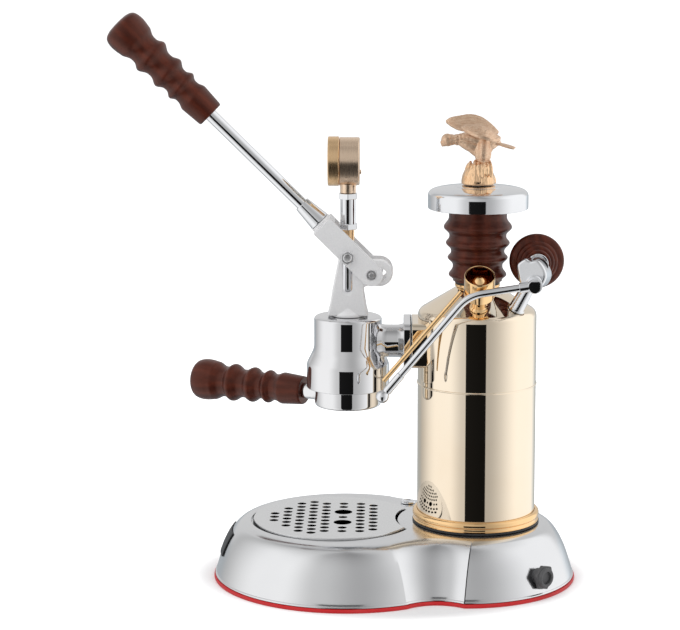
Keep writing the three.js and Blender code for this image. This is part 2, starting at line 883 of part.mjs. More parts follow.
// Element: flange under the boiler floor, a loop of rod on two legs and two studs below
function makeHeatingElement() {
  const flangeTop = boilerFoot - gap;
  const flangeBottom = flangeTop - elementFlangeThickness * 0.42;
  const flange = rod(elementFlange, flangeBottom, flangeTop, midSides);
  const plugTop = boilerFoot + elementFlangeThickness;
  const plug = rod(elementHole - gap, flangeBottom - elementFlangeThickness, plugTop, midSides);
  const loopZ = boilerFoot + elementHeight;
  const loop = new THREE.TorusGeometry(elementLoopRadius, elementRod, tinySides, smallSides)
    .translate(0, 0, loopZ);
  const pieces = [plug, loop];
  for (const angle of [-elementLegAngle, elementLegAngle]) {
    const x = -elementLoopRadius * Math.cos(angle);
    const y = elementLoopRadius * Math.sin(angle);
    const leg = rod(elementRod * 0.95, flangeTop, loopZ, tinySides).translate(x, y, 0);
    const stud = rod(elementRod * 0.5, flangeBottom - elementStudLength, flangeTop, tinySides)
      .translate(x, y, 0);
    pieces.push(leg, stud);
  }
  return join(flange, ...pieces);
}

function makeFillerCollar() {
  return turnedRing([
    [fillerBore, coneTop + gap],
    [neckRadius * 0.96, coneTop + gap],
    [collarRadius, coneTop + gap + 0.2 * (collarTop - coneTop)],
    [collarRadius, collarTop - gap],
    [fillerBore, collarTop - gap],
  ], midSides);
}

// Boiler cap

function makeCapStem() {
  const top = gripTop + discHeight * 0.6;
  return turned([
    [0, collarTop - plugDepth],
    [plugRadius * 0.85, collarTop - plugDepth],
    [plugRadius, collarTop - plugDepth * 0.85],
    [plugRadius, collarTop],
    [stemRadius, collarTop],
    [stemRadius, top],
    [0, top],
  ], smallSides);
}

function makeCapGasket() {
  return turnedRing([
    [plugRadius + gap, collarTop],
    [collarRadius - gap, collarTop],
    [collarRadius - gap, collarTop + capGasketThickness - gap],
    [plugRadius + gap, collarTop + capGasketThickness - gap],
  ], smallSides);
}

function makeCapGrip() {
  const bottom = collarTop + capGasketThickness;
  const outside = ribbed(gripCrestShares, gripLength, gripRadius).map(([radius, z]) => [radius, bottom + z]);
  const endRadius = gripCrestShares[gripCrestShares.length - 1][1] * gripRadius;
  return turnedRing([[gripBore, bottom], ...outside, [endRadius, gripTop], [gripBore, gripTop]], midSides);
}

function makeCapDisc() {
  const bottom = gripTop + gap;
  const top = bottom + discHeight;
  const corner = [];
  const steps = 5;
  for (let i = 0; i <= steps; i++) {
    const angle = Math.PI / 2 * i / steps;
    corner.push([
      discRadius - discRound + discRound * Math.cos(angle),
      top - discRound + discRound * Math.sin(angle),
    ]);
  }
  const socket = stemRadius + slideGap;
  const boss = gripRadius * 0.86;
  return turnedRing([
    [socket, bottom],
    [boss, bottom],
    [boss, bottom + discWall * 0.6],
    [discRadius - discWall, bottom + discWall * 0.6],
    [discRadius - discWall * 0.6, bottom],
    [discRadius, bottom + discWall * 0.4],
    ...corner,
    [discGrooveRadius + gap, top + discDome * 0.55],
    [discGrooveRadius, top + discDome * 0.4],
    [discGrooveRadius - gap, top + discDome * 0.62],
    [eagleBaseRadius * 0.7, top + discDome],
    [socket, top + discDome],
  ], roundSides);
}

const discTop = gripTop + gap + discHeight + discDome;

// Wing outline in XY: root along X at y = 0, tip at y = 1, as shares of chord and span
const wingShares = [[-0.5, 0], [-0.62, 0.35], [-0.5, 0.78], [-0.2, 1], [0.2, 0.92], [0.5, 0.7], [0.62, 0.4],
  [0.5, 0]];
const wingChord = 40;
const wingSpan = 33;
const wingThickness = 3;
const wingRise = 34 * Math.PI / 180;
const wingSweep = 14 * Math.PI / 180;
const eagleBody = 10.5;
const bodyShares = [1.35, 0.85, 0.8];
const headShares = [1.25, 0.85, 0.95];
const bodySides = 12;
const neckSides = 10;
const legSides = 8;

function eagleWing(side) {
  const outline = wingShares.map(([x, y]) => new THREE.Vector2(x * wingChord, side * y * wingSpan));
  return plate(new THREE.Shape(outline), wingThickness, -wingThickness / 2)
    .rotateY(-wingSweep)
    .rotateX(side * wingRise)
    .translate(0, 0, eagleHeight * 0.66);
}

function eagleLeg(side) {
  return new THREE.CylinderGeometry(eagleBody * 0.42, eagleBody * 0.24, eagleHeight * 0.42, legSides)
    .rotateX(Math.PI / 2)
    .translate(eagleBody * 0.1, side * eagleBody * 0.42, eagleHeight * 0.35);
}

// Eagle landing on a mound, head to -X
function makeEagle() {
  const mound = turned([
    [0, 0],
    [eagleBaseRadius, 0],
    [eagleBaseRadius * 0.95, eagleHeight * 0.05],
    [eagleBaseRadius * 0.72, eagleHeight * 0.15],
    [eagleBaseRadius * 0.4, eagleHeight * 0.22],
    [0, eagleHeight * 0.24],
  ], smallSides);
  const legs = [-1, 1].map((side) => eagleLeg(side));
  const body = new THREE.SphereGeometry(eagleBody, bodySides, legSides)
    .scale(...bodyShares)
    .rotateY(-wingSweep)
    .translate(eagleBody * 0.1, 0, eagleHeight * 0.61);
  const neck = new THREE.CylinderGeometry(eagleBody * 0.36, eagleBody * 0.62, eagleBody * 1.5, neckSides)
    .rotateZ(Math.PI / 2.4)
    .rotateX(Math.PI / 2)
    .translate(-eagleBody * 1.5, 0, eagleHeight * 0.68);
  const head = new THREE.SphereGeometry(eagleBody * 0.5, neckSides, legSides)
    .scale(...headShares)
    .translate(-eagleBody * 2.05, 0, eagleHeight * 0.7);
  const beak = new THREE.ConeGeometry(eagleBody * 0.26, eagleBody * 0.7, legSides)
    .rotateZ(Math.PI * 0.72)
    .rotateX(Math.PI / 2)
    .translate(-eagleBody * 2.6, 0, eagleHeight * 0.655);
  const tail = block(eagleBody * 2, eagleBody * 1.3, eagleBody * 0.28)
    .rotateY(wingSweep * 1.3)
    .translate(eagleBody * 2.2, 0, eagleHeight * 0.6);
  return join(mound, ...legs, body, neck, head, beak, tail, eagleWing(-1), eagleWing(1));
}

// Safety valve, square to the cone and facing the -Y side

const valveAngle = -Math.PI / 2;

function makeValveBody() {
  const bottom = valveNeckLength;
  const top = bottom + valveLength;
  const hollow = valveRadius - valveWall;
  return turned([
    [0, gap],
    [valveNeckRadius * 1.2, gap],
    [valveNeckRadius, gap * 6],
    [valveNeckRadius, bottom],
    [valveRadius - valveWall, bottom],
    [valveRadius, bottom + valveWall],
    [valveRadius, top],
    [hollow, top],
    [hollow, top - valveCupDepth * 0.35],
    [0, top - valveCupDepth],
  ], midSides);
}

// Steam tap in the boiler's frame

function toothShape() {
  const shares = [[-0.38, 0.4], [-0.5, 0.24], [-0.44, -0.2], [-0.3, -0.48], [0.1, -0.5], [0.36, -0.42],
    [0.5, -0.12], [0.44, 0.16], [0.24, 0.42], [0.06, 0.44], [-0.08, 0.41], [-0.22, 0.48]];
  return new THREE.Shape(shares.map(([x, z]) => new THREE.Vector2(x * tapWidth, z * tapTall)));
}

const tapFront = -tapBack - tapDepth;

function makeTapBody() {
  const neck = turned([
    [0, gap],
    [tapNeckFootRadius * 1.1, gap],
    [tapNeckFootRadius, gap * 6],
    [tapNeckTopRadius, tapNeckLength],
    [0, tapNeckLength],
  ], smallSides);
  aimed(neck, conePoint(tapFootRadius, tapFootAngle), coneNormal(tapFootAngle));
  const middle = -tapBack - tapDepth / 2;
  const casting = cheek(toothShape(), tapDepth, middle).translate(tapCentreX, 0, tapCentreZ);
  const gland = alongY(rod(ferruleRadius * 0.84, middle, -tapBack + ferruleLength, smallSides))
    .translate(spindleX, 0, spindleZ);
  const boss = alongY(rod(bossRadius, tapFront - bossLength, tapFront + tapDepth / 2, smallSides))
    .translate(swivelX, 0, swivelZ);
  const boreEnd = -tapBack + ferruleLength + overrun;
  const bore = alongY(rod(spindleRadius + slideGap, -tapBack - tapDepth * 0.6, boreEnd))
    .translate(spindleX, 0, spindleZ);
  return cut(join(neck, casting, gland, boss), bore);
}

const spindleInner = -tapBack - tapDepth * 0.5;
const ferruleStart = -tapBack + ferruleLength + slideGap;
const knobStart = ferruleStart + ferruleLength;

// Spindle along +Y with its ferrule, about the spindle axis
function makeSpindle() {
  return alongY(turned([
    [0, spindleInner],
    [spindleRadius, spindleInner],
    [spindleRadius, ferruleStart],
    [ferruleRadius, ferruleStart],
    [ferruleRadius, ferruleStart + ferruleLength - gap],
    [spindleRadius, ferruleStart + ferruleLength - gap],
    [spindleRadius, knobStart + knobLength * 0.6],
    [0, knobStart + knobLength * 0.6],
  ], smallSides));
}

// Knob: two ribs on the hub, then the broad rounded disc
const knobShares = [[0, 0.42], [0.03, 0.47], [0.14, 0.5], [0.22, 0.46], [0.3, 0.6], [0.38, 0.64],
  [0.46, 0.58], [0.54, 0.68], [0.62, 0.9], [0.72, 1], [0.86, 0.97], [0.95, 0.8], [1, 0.5]];

function makeKnob() {
  const bore = spindleRadius + gap;
  const boreEnd = knobLength * 0.6 + gap;
  const outside = knobShares.map(([along, radius]) => [radius * knobRadius, along * knobLength]);
  return alongY(turned([[0, boreEnd], [bore, boreEnd], [bore, 0], ...outside, [0, knobLength]], midSides)
    .translate(0, 0, knobStart));
}

// Swivel about the wand's own axis: a plug with a collar that takes the wand
function makeSwivel() {
  const plug = alongY(turned([
    [0, -swivelLength],
    [swivelRadius * 0.82, -swivelLength],
    [swivelRadius, -swivelLength * 0.92],
    [swivelRadius, 0],
    [0, 0],
  ], smallSides)).translate(0, tapFront - bossLength - gap, 0);
  const collar = rod(wandCollarRadius, 0, swivelRadius + wandCollarLength, smallSides)
    .rotateY(-Math.PI / 2 - wandTilt)
    .translate(0, -wandPlane, 0);
  return join(plug, collar);
}

function wandPath() {
  const start = swivelRadius + wandCollarLength + gap;
  const from = new THREE.Vector3(-start * Math.cos(wandTilt), 0, -start * Math.sin(wandTilt));
  const corner = new THREE.Vector3(
    -(wandReach + wandBend / 2) * Math.cos(wandTilt),
    0,
    -(wandReach + wandBend / 2) * Math.sin(wandTilt),
  );
  const bendStart = corner.clone().add(new THREE.Vector3(Math.cos(wandTilt), 0, Math.sin(wandTilt))
    .multiplyScalar(wandBend / 2));
  const fall = new THREE.Vector3(-Math.cos(wandFall), 0, -Math.sin(wandFall));
  const bendEnd = corner.clone().addScaledVector(fall, wandBend / 2);
  const end = bendEnd.clone().addScaledVector(fall, wandDrop);
  const path = new THREE.CurvePath();
  path.add(new THREE.LineCurve3(from, bendStart));
  path.add(new THREE.QuadraticBezierCurve3(bendStart, corner, bendEnd));
  path.add(new THREE.LineCurve3(bendEnd, end));
  return { path, end, fall };
}

function circleShape(radius, sides) {
  return new THREE.Shape(arcPoints(0, 0, radius, 0, 2 * Math.PI * (1 - 1 / sides), sides - 1));
}

function makeWand() {
  const { path } = wandPath();
  return new THREE.ExtrudeGeometry(circleShape(wandRadius, tinySides), {
    steps: smallSides,
    extrudePath: path,
    curveSegments: 1,
  }).translate(0, -wandPlane, 0);
}

// Nozzle: a sleeve along the wand's line that swells to a rounded acorn tip
function makeNozzle() {
  const { end, fall } = wandPath();
  const nozzle = turned([
    [0, gap],
    [wandRadius, gap],
    [wandRadius, nozzleLength * 0.66],
    [nozzleRadius * 0.7, nozzleLength * 0.69],
    [nozzleRadius, nozzleLength * 0.79],
    [nozzleRadius * 0.94, nozzleLength * 0.9],
    [nozzleRadius * 0.6, nozzleLength * 0.98],
    [nozzleBore, nozzleLength],
    [nozzleBore, nozzleLength * 0.9],
    [0, nozzleLength * 0.9],
  ], smallSides);
  return aimed(nozzle, end, fall).translate(0, -wandPlane, 0);
}

// Sight glass on the +Y side of the boiler

const sightY = boilerRadius + sightStandoff;

function makeSightFitting(z, direction) {
  const stub = alongY(rod(sightStub, boilerRadius + gap, sightY, smallSides)).translate(0, 0, z);
  const nut = hexRod(sightNut / hexCorner, z - sightNutLength / 2, z + sightNutLength / 2)
    .translate(0, sightY, 0);
  const from = Math.min(z, z + direction * sightNutLength);
  const socket = rod(sightTube + slideGap, from, from + sightNutLength, smallSides).translate(0, sightY, 0);
  return cut(join(stub, nut), socket);
}

function makeSightTube() {
  const bottom = sightLow + gap;
  const top = sightHigh - gap;
  return turnedRing([
    [sightTube - sightTubeWall, bottom],
    [sightTube, bottom],
    [sightTube, top],
    [sightTube - sightTubeWall, top],
  ], smallSides).translate(0, sightY, 0);
}

// Half-round guard behind the tube, between the two nuts
function makeSightShield() {
  const from = sightLow + sightNutLength / 2 + gap;
  const to = sightHigh - sightNutLength / 2 - gap;
  const tube = turnedRing([
    [shieldRadius - shieldWall, from],
    [shieldRadius, from],
    [shieldRadius, to],
    [shieldRadius - shieldWall, to],
  ], midSides);
  const front = block(shieldRadius * 4, shieldRadius * 2, to - from + 2 * overrun,
    0, shieldRadius * 1.25, (from + to) / 2);
  return cut(tube, front).translate(0, sightY, 0);
}

// Group, about its own upright axis with z = 0 at the neck

const lugBand = bellBottom + lugFloor;
const lugMouthTurn = portafilterAngle + Math.PI / 2 - unlockTurn;

function flangePlate(from, thickness) {
  const shape = roundedRectangle(flangeTall, flangeWide, flangeCorner);
  return alongX(plate(shape, thickness, 0, tinySides / 3)).translate(from, 0, 0);
}

function flangeHoles(from, to, bore) {
  const holes = [-1, 1].map((side) => alongX(rod(boltRadius + slideGap, from, to, tinySides))
    .translate(0, side * boltOffset, 0));
  holes.push(alongX(rod(bore, from, to, smallSides)));
  return holes;
}

function makeGroupBody() {
  const corner = [];
  const steps = 3;
  for (let i = 0; i <= steps; i++) {
    const angle = Math.PI / 2 * i / steps;
    corner.push([
      groupRadius - groupRound + groupRound * Math.cos(angle),
      groupTop - groupRound + groupRound * Math.sin(angle),
    ]);
  }
  const body = turnedRing([
    [lugMouthRadius, bellBottom],
    [bellRadius - bellCorner, bellBottom],
    [bellRadius, bellBottom + bellCorner],
    [bellRadius, bellTop],
    [groupRadius, flareTop],
    ...corner,
    [towerBaseRadius + gap, groupTop],
    [towerBaseRadius + gap, groupCeiling],
    [groupBore, groupCeiling],
    [groupBore, seatHeight],
    [lugRadius + gap, seatHeight],
    [lugRadius + gap, lugBand],
    [lugMouthRadius, lugBand],
  ], roundSides);
  const plateStart = groupReach - flangeFace - flangeThickness;
  const pipe = alongX(rod(neckPipe, groupRadius * 0.9, plateStart + flangeThickness / 2, midSides));
  const flange = flangePlate(plateStart, flangeThickness);
  const mouth = [0, Math.PI].map((turn) => {
    const sector = new THREE.Shape();
    const half = lugAngle + 2 * slideGap / lugRadius;
    sector.absarc(0, 0, lugRadius + gap, turn - half + lugMouthTurn, turn + half + lugMouthTurn);
    sector.lineTo(0, 0);
    return plate(sector, lugFloor + 2 * overrun, bellBottom - overrun, tinySides);
  });
  const far = plateStart + flangeThickness + overrun;
  return cut(join(body, pipe, flange), ...mouth, ...flangeHoles(groupBore * 0.9, far, neckBore));
}

function makeFlangeGasket() {
  const from = groupReach - flangeFace + gap / 2;
  const thickness = flangeGasket - gap;
  const holes = flangeHoles(from - overrun, from + thickness + overrun, neckBore);
  return cut(flangePlate(from, thickness), ...holes);
}

// Flange bolt with its head on the group side, about the group axis
function makeFlangeBolt(side) {
  const seat = groupReach - flangeFace - flangeThickness - gap;
  const head = hexRod(boltFlats, seat - boltHead, seat);
  const shank = rod(boltRadius, seat - boltHead / 2, groupReach - boilerRadius, tinySides);
  return alongX(join(head, shank).rotateZ(Math.PI / 6)).translate(0, side * boltOffset, 0);
}

const gasketTop = seatHeight - gap;

function makeGroupGasket() {
  return turnedRing([
    [gasketInner, gasketTop - gasketHeight],
    [lugRadius - slideGap, gasketTop - gasketHeight],
    [lugRadius - slideGap, gasketTop],
    [gasketInner, gasketTop],
  ], midSides);
}

// Drills for rings of holes, each ring a [count, share of the radius] pair
function ringDrills(rings, radius, holeRadius, from, to) {
  const drills = [];
  for (const [count, share] of rings) {
    for (let i = 0; i < count; i++) {
      const angle = 2 * Math.PI * i / count;
      const drill = rod(holeRadius, from, to, drillSides);
      drills.push(drill.translate(share * radius * Math.cos(angle), share * radius * Math.sin(angle), 0));
    }
  }
  return drills;
}

function makeShowerScreen() {
  const radius = gasketInner - gap;
  const bottom = gasketTop - screenThickness;
  const drills = ringDrills(screenRings, radius, screenHole / 2, bottom - overrun, gasketTop + overrun);
  return cut(rod(radius, bottom, gasketTop, midSides), ...drills);
}

// Tower

function towerShape() {
  const shape = new THREE.Shape();
  shape.moveTo(-towerFoot, groupTop + gap);
  shape.lineTo(towerFoot, groupTop + gap);
  shape.lineTo(towerFoot * 0.76, earZ - earRadius - gap);
  shape.lineTo(earX * 0.62, earZ - earRadius);
  shape.absarc(earX, earZ, earRadius, -Math.PI / 2, Math.PI / 2, false);
  shape.lineTo(towerNeck + gap, earZ + earRadius);
  shape.lineTo(towerNeck, towerTop - towerNeck * 0.5);
  shape.lineTo(towerNeck * 0.5, towerTop);
  shape.lineTo(-towerNeck * 0.5, towerTop);
  shape.lineTo(-towerNeck, towerTop - towerNeck * 0.5);
  shape.lineTo(-towerNeck, towerNeckHeight);
  return shape;
}

function makeTower() {
  const body = cheek(towerShape(), 2 * towerHalf, 0);
  const ring = rod(towerRing, groupTop + gap, groupTop + gap + towerRingHeight, midSides);
  const spigot = rod(towerBaseRadius, groupCeiling + gap, groupTop + gap + towerRingHeight / 2, midSides);
  const channel = block(4 * earX, 2 * (towerHalf - cheekWall), towerTop - towerFloor + overrun,
    0, 0, (towerFloor + towerTop + overrun) / 2);
  const bore = rod(rodRadius + slideGap, groupCeiling - overrun, towerFloor + overrun);
  const pinSlot = cheek(
    slotShape(0, rodPinZ - pinTravelDown - gap, 0, rodPinZ + pinTravelUp + gap, pinSlotWidth / 2),
    3 * towerHalf, 0, tinySides / 2);
  const rollerSlot = cheek(
    slotShape(rollerSlotFrom, fulcrumZ, rollerSlotTo, fulcrumZ, rollerSlotHeight / 2),
    3 * towerHalf, 0, tinySides);
  const panels = [-1, 1].map((side) => cheek(
    slotShape(0, rodPinZ - pinTravelDown - pinSlotWidth * 0.2, 0, rodPinZ, pinSlotWidth * 0.62),
    2 * panelDepth, side * towerHalf, tinySides / 2));
  return cut(join(body, ring, spigot), channel, bore, pinSlot, rollerSlot, ...panels);
}

// Piston assembly about the group axis

function makePistonHead() {
  const top = pistonBottom + pistonHeight;
  const seat = sealRadius - sealSection;
  return turned([
    [0, pistonBottom],
    [pistonRadius * 0.86, pistonBottom],
    [pistonRadius, pistonBottom + pistonHeight * 0.12],
    [pistonRadius, pistonBottom + pistonHeight * 0.3],
    [seat, pistonBottom + pistonHeight * 0.3],
    [seat, pistonBottom + pistonHeight * 0.7],
    [pistonRadius, pistonBottom + pistonHeight * 0.7],
    [pistonRadius, top],
    [0, top],
  ], midSides);
}

function makePistonSeal() {
  const from = pistonBottom + pistonHeight * 0.3 + gap;
  const to = pistonBottom + pistonHeight * 0.7 - gap;
  const inner = sealRadius - sealSection + gap;
  return turnedRing([
    [inner, from],
    [sealRadius, from],
    [sealRadius - gap, (from + to) / 2],
    [sealRadius, to],
    [inner, to],
  ], midSides);
}

function makePistonRod() {
  const shaft = rod(rodRadius, pistonBottom + pistonHeight + gap, rodTop, smallSides);
  const hole = alongY(rod(rodPinRadius + gap, -towerHalf, towerHalf, tinySides)).translate(0, 0, rodPinZ);
  return cut(shaft, hole);
}

// Hex bolt along Y through the fork, the cheeks and the rod, with a nut on the far side
function makeRodPin() {
  const face = plateInner + plateThickness + gap;
  const head = hexRod(boltHeadFlats, face, face + boltHeadHeight);
  const nut = hexRod(boltHeadFlats, -face - boltHeadHeight, -face);
  const shank = rod(rodPinRadius, -face - boltHeadHeight * 1.3, face + boltHeadHeight / 2, tinySides);
  return join(shank, head, nut).rotateX(Math.PI / 2).translate(0, 0, rodPinZ);
}

function makeGaugeNeck() {
  return rod(neckPieceRadius, rodTop + gap, tubeBottom - gap, smallSides);
}

function makeGaugeTube() {
  return join(
    rod(tubeRadius, tubeBottom, tubeTop, smallSides),
    hexRod(tubeHex, tubeBottom, tubeBottom + tubeHexHeight),
    hexRod(tubeHex, tubeTop - tubeHexHeight, tubeTop),
  );
}

// Gauge, turned about X through its centre; front faces -X
const gaugeCaseStep = 0.6;
const dialDrop = 1.6;
const needleLift = 1;
const gaugeCaseRadius = gaugeRadius - gaugeCaseStep;
const dialSeat = gaugeSplit - dialDrop;

function facingFront(geometry) {
  return geometry.rotateY(-Math.PI / 2).translate(0, 0, gaugeZ);
}

function makeGaugeCase() {
  const hollow = gaugeCaseRadius - gaugeWall;
  const shell = facingFront(turned([
    [0, -gaugeBack],
    [gaugeCaseRadius - gaugeWall, -gaugeBack],
    [gaugeCaseRadius, -gaugeBack + gaugeWall],
    [gaugeCaseRadius, gaugeSplit],
    [hollow, gaugeSplit],
    [hollow, dialSeat],
    [hollow - gaugeWall, dialSeat],
    [hollow - gaugeWall, -gaugeBack + gaugeWall * 1.5],
    [0, -gaugeBack + gaugeWall * 1.5],
  ], midSides));
  const socket = rod(socketRadius, tubeTop + gap, gaugeZ - gaugeCaseRadius + gaugeWall * 0.9, smallSides);
  const screw = facingFront(rod(gaugeWall * 1.4, -gaugeBack - gaugeWall, -gaugeBack + gaugeWall, tinySides))
    .translate(0, 0, -gaugeCaseRadius * 0.45);
  return join(shell, socket, screw);
}

function makeGaugeDial() {
  const radius = gaugeCaseRadius - gaugeWall - gap;
  return facingFront(turnedRing([
    [needlePin + gap, dialSeat + gap],
    [radius, dialSeat + gap],
    [radius, dialSeat + gap + dialThickness],
    [needlePin + gap, dialSeat + gap + dialThickness],
  ], midSides));
}

const needlePlane = dialSeat + gap + dialThickness + needleLift;
const needleZero = 45 * Math.PI / 180;

// Needle on its arbor, about the gauge axis, pointing to the zero of the dial
function makeGaugeNeedle() {
  const arbor = rod(needlePin, dialSeat - needleLift, needlePlane + needleWidth, tinySides);
  const hub = rod(needlePin * 2.6, needlePlane, needlePlane + needleWidth * 0.5, tinySides);
  const shape = new THREE.Shape([
    new THREE.Vector2(-needleWidth / 2, -needleLength * 0.3),
    new THREE.Vector2(needleWidth / 2, -needleLength * 0.3),
    new THREE.Vector2(needleWidth * 0.14, needleLength),
    new THREE.Vector2(-needleWidth * 0.14, needleLength),
  ]);
  const pointer = plate(shape, needleWidth * 0.4, needlePlane);
  return join(arbor, hub, pointer).rotateZ(needleZero).rotateY(-Math.PI / 2);
}

const glassFront = gaugeFront - bezelLip - gap;

function makeGaugeGlass() {
  const radius = gaugeRadius - gaugeWall - 2 * gap;
  return facingFront(rod(radius, glassFront - glassThickness, glassFront, midSides));
}

function makeGaugeBezel() {
  const inner = gaugeRadius - gaugeWall;
  const back = glassFront - glassThickness - gap;
  return facingFront(turnedRing([
    [inner - gaugeWall, gaugeSplit + gap],
    [gaugeRadius, gaugeSplit + gap],
    [gaugeRadius, gaugeFront - gaugeWall * 0.6],
    [gaugeRadius - gaugeWall * 0.6, gaugeFront],
    [inner - 0.8 * gaugeWall, gaugeFront],
    [inner - gaugeWall, gaugeFront - bezelLip],
    [inner, gaugeFront - bezelLip],
    [inner, back],
    [inner - gaugeWall, back],
  ], midSides));
}

// Lever, built along +X from the fulcrum pin: x runs up the lever, z across it

const pinAlong = Math.hypot(fulcrumX, rodPinZ - fulcrumZ)
  * Math.cos(leverAngle - Math.atan2(rodPinZ - fulcrumZ, fulcrumX));
const pinAcross = Math.hypot(fulcrumX, rodPinZ - fulcrumZ)
  * Math.sin(leverAngle - Math.atan2(rodPinZ - fulcrumZ, fulcrumX));

function forkShape() {
  const half = plateWidth / 2;
  const shape = new THREE.Shape();
  shape.moveTo(plateEnd, -half);
  shape.lineTo(plateEnd, half);
  shape.absarc(0, 0, half, Math.PI / 2, 3 * Math.PI / 2, false);
  return shape;
}

function makeFork() {
  const middle = plateInner + plateThickness / 2;
  const plates = [-1, 1].map((side) => cheek(forkShape(), plateThickness, side * middle));
  const bridge = block(bridgeLength, 2 * middle, plateWidth, plateEnd - bridgeLength / 2, 0, 0);
  const neckEnd = plateEnd + bridgeNeckLength;
  const neck = alongX(rod(bridgeNeckRadius, plateEnd - bridgeLength / 2, neckEnd, midSides));
  const reach = 2 * bridgeLength;
  const rodHole = alongX(rod(leverRodRadius * 0.8 + gap, plateEnd - reach, plateEnd + reach));
  const pinHole = alongY(rod(rodPinRadius + slideGap, -2 * middle, 2 * middle, smallSides))
    .translate(pinAlong, 0, pinAcross);
  const fulcrumHole = alongY(rod(fulcrumPinRadius + gap, -2 * middle, 2 * middle, smallSides));
  return cut(join(...plates.slice(0, 1), bridge, plates[1], neck), rodHole, pinHole, fulcrumHole);
}

const sleeveStart = plateEnd + bridgeNeckLength + gap;
const sleeveEnd = sleeveStart + sleeveLength;

function makeSleeve() {
  return alongX(turnedRing([
    [leverRodRadius + gap, sleeveStart],
    [sleeveBig, sleeveStart],
    [sleeveBig, sleeveStart + 1.5 * gap],
    [sleeveSmall, sleeveEnd],
    [leverRodRadius + gap, sleeveEnd],
  ], midSides));
}

function makeLeverRod() {
  const end = leverHandleStart + leverRodInsert - gap;
  const tenon = plateEnd - bridgeLength + gap;
  return alongX(turned([
    [0, tenon],
    [leverRodRadius * 0.8, tenon],
    [leverRodRadius * 0.8, sleeveStart],
    [leverRodRadius, sleeveStart],
    [leverRodRadius, end],
    [0, end],
  ], smallSides));
}

function makeLeverHandle() {
  return alongX(turnedHandle(leverHandleLength, leverRodRadius + gap, leverRodInsert)
    .translate(0, 0, leverHandleStart));
}

// Fulcrum pin with a roller shoulder in the ear and a clip outside each plate
function makeFulcrumPin() {
  const inside = plateInner - gap;
  const face = plateInner + plateThickness + gap;
  return alongY(turned([
    [0, -face - 3 * clipThickness],
    [fulcrumPinRadius, -face - 3 * clipThickness],
    [fulcrumPinRadius, -face - clipThickness],
    [clipRadius, -face - clipThickness],
    [clipRadius, -face],
    [fulcrumPinRadius, -face],
    [fulcrumPinRadius, -inside],
    [rollerRadius, -inside],
    [rollerRadius, inside],
    [fulcrumPinRadius, inside],
    [fulcrumPinRadius, face],
    [clipRadius, face],
    [clipRadius, face + clipThickness],
    [fulcrumPinRadius, face + clipThickness],
    [fulcrumPinRadius, face + 3 * clipThickness],
    [0, face + 3 * clipThickness],
  ], smallSides));
}

// Portafilter about the group axis, handle along +X before its group is turned

function makeCup() {
  const body = turnedRing([
    [cupMouth, cupBottom],
    [cupRadius - bellCorner, cupBottom],
    [cupRadius, cupBottom + bellCorner],
    [cupRadius, bellBottom - gap],
    [cupNeck, bellBottom - gap],
    [cupNeck, cupRimTop],
    [cupBore, cupRimTop],
    [cupBore, cupBottom + cupFloor],
    [cupMouth, cupBottom + cupFloor],
  ], roundSides);
  const lugBottom = lugBand + gap;
  const lugs = [-1, 1].map((side) => {
    const sector = new THREE.Shape();
    const middle = side * Math.PI / 2;
    sector.absarc(0, 0, lugRadius - slideGap, middle - lugAngle, middle + lugAngle, false);
    sector.absarc(0, 0, (cupNeck + cupBore) / 2, middle + lugAngle, middle - lugAngle, true);
    return plate(sector, cupRimTop - lugBottom - gap, lugBottom, tinySides / 2);
  });
  const stub = alongX(rod(stubRadius, (cupRadius + cupBore) / 2, stubEnd, smallSides))
    .translate(0, 0, portafilterHeight);
  const tang = alongX(rod(tangRadius, stubEnd - overrun, stubEnd + handleInsert - gap, tinySides))
    .translate(0, 0, portafilterHeight);
  return join(body, ...lugs, stub, tang);
}

function makePortafilterHandle() {
  return alongX(turnedHandle(handleLength, tangRadius + gap, handleInsert).translate(0, 0, stubEnd + gap))
    .translate(0, 0, portafilterHeight);
}

// Filter basket: a thin cup hung by its rim, with rings of holes in its floor
function makeBasket() {
  const rimBottom = cupRimTop + gap;
  const bottom = rimBottom - basketDepth;
  const inner = basketRadius - basketWall;
  const cup = turned([
    [0, bottom],
    [basketRadius * 0.94, bottom],
    [basketRadius, bottom + basketWall * 2],
    [basketRadius, rimBottom],
    [cupNeck - gap, rimBottom],
    [cupNeck - gap, rimBottom + basketRimHeight],
    [inner, rimBottom + basketRimHeight],
    [inner, bottom + basketWall * 2],
    [inner - basketWall, bottom + basketWall],
    [0, bottom + basketWall],
  ], midSides);
  const holes = ringDrills(basketRings, basketRadius, basketHole / 2, bottom - overrun, bottom + overrun);
  return cut(cup, ...holes);
}

// Assembly

function at(x, y, z, ...children) {
  const group = new THREE.Group();
  group.position.set(x, y, z);
  for (const child of children) group.add(child);
  return group;
}

function makeBase() {
  const frame = switchFrame();
  frame.add(piece('switch_bezel', makeSwitchBezel(), blackPlastic));
  frame.add(at(0, 0, rockerPivot, piece('switch_rocker', makeSwitchRocker(), blackPlastic)));
  return at(0, 0, 0,
    piece('base_gasket', makeBaseGasket(), redRubber),
    piece('bottom_plate', makeBottomPlate(), steel),
    piece('base_shell', makeBaseShell(), chrome),
    piece('drip_tray', makeDripTray(), blackPlastic),
    piece('drip_grate', makeDripGrate(), chrome),
    piece('front_plate', makeFrontPlate(), blackPlastic),
    piece('emblem_button', makeButton(), chrome),
    piece('cable_gland', makeCableGland(), blackPlastic),
    frame,
  );
}

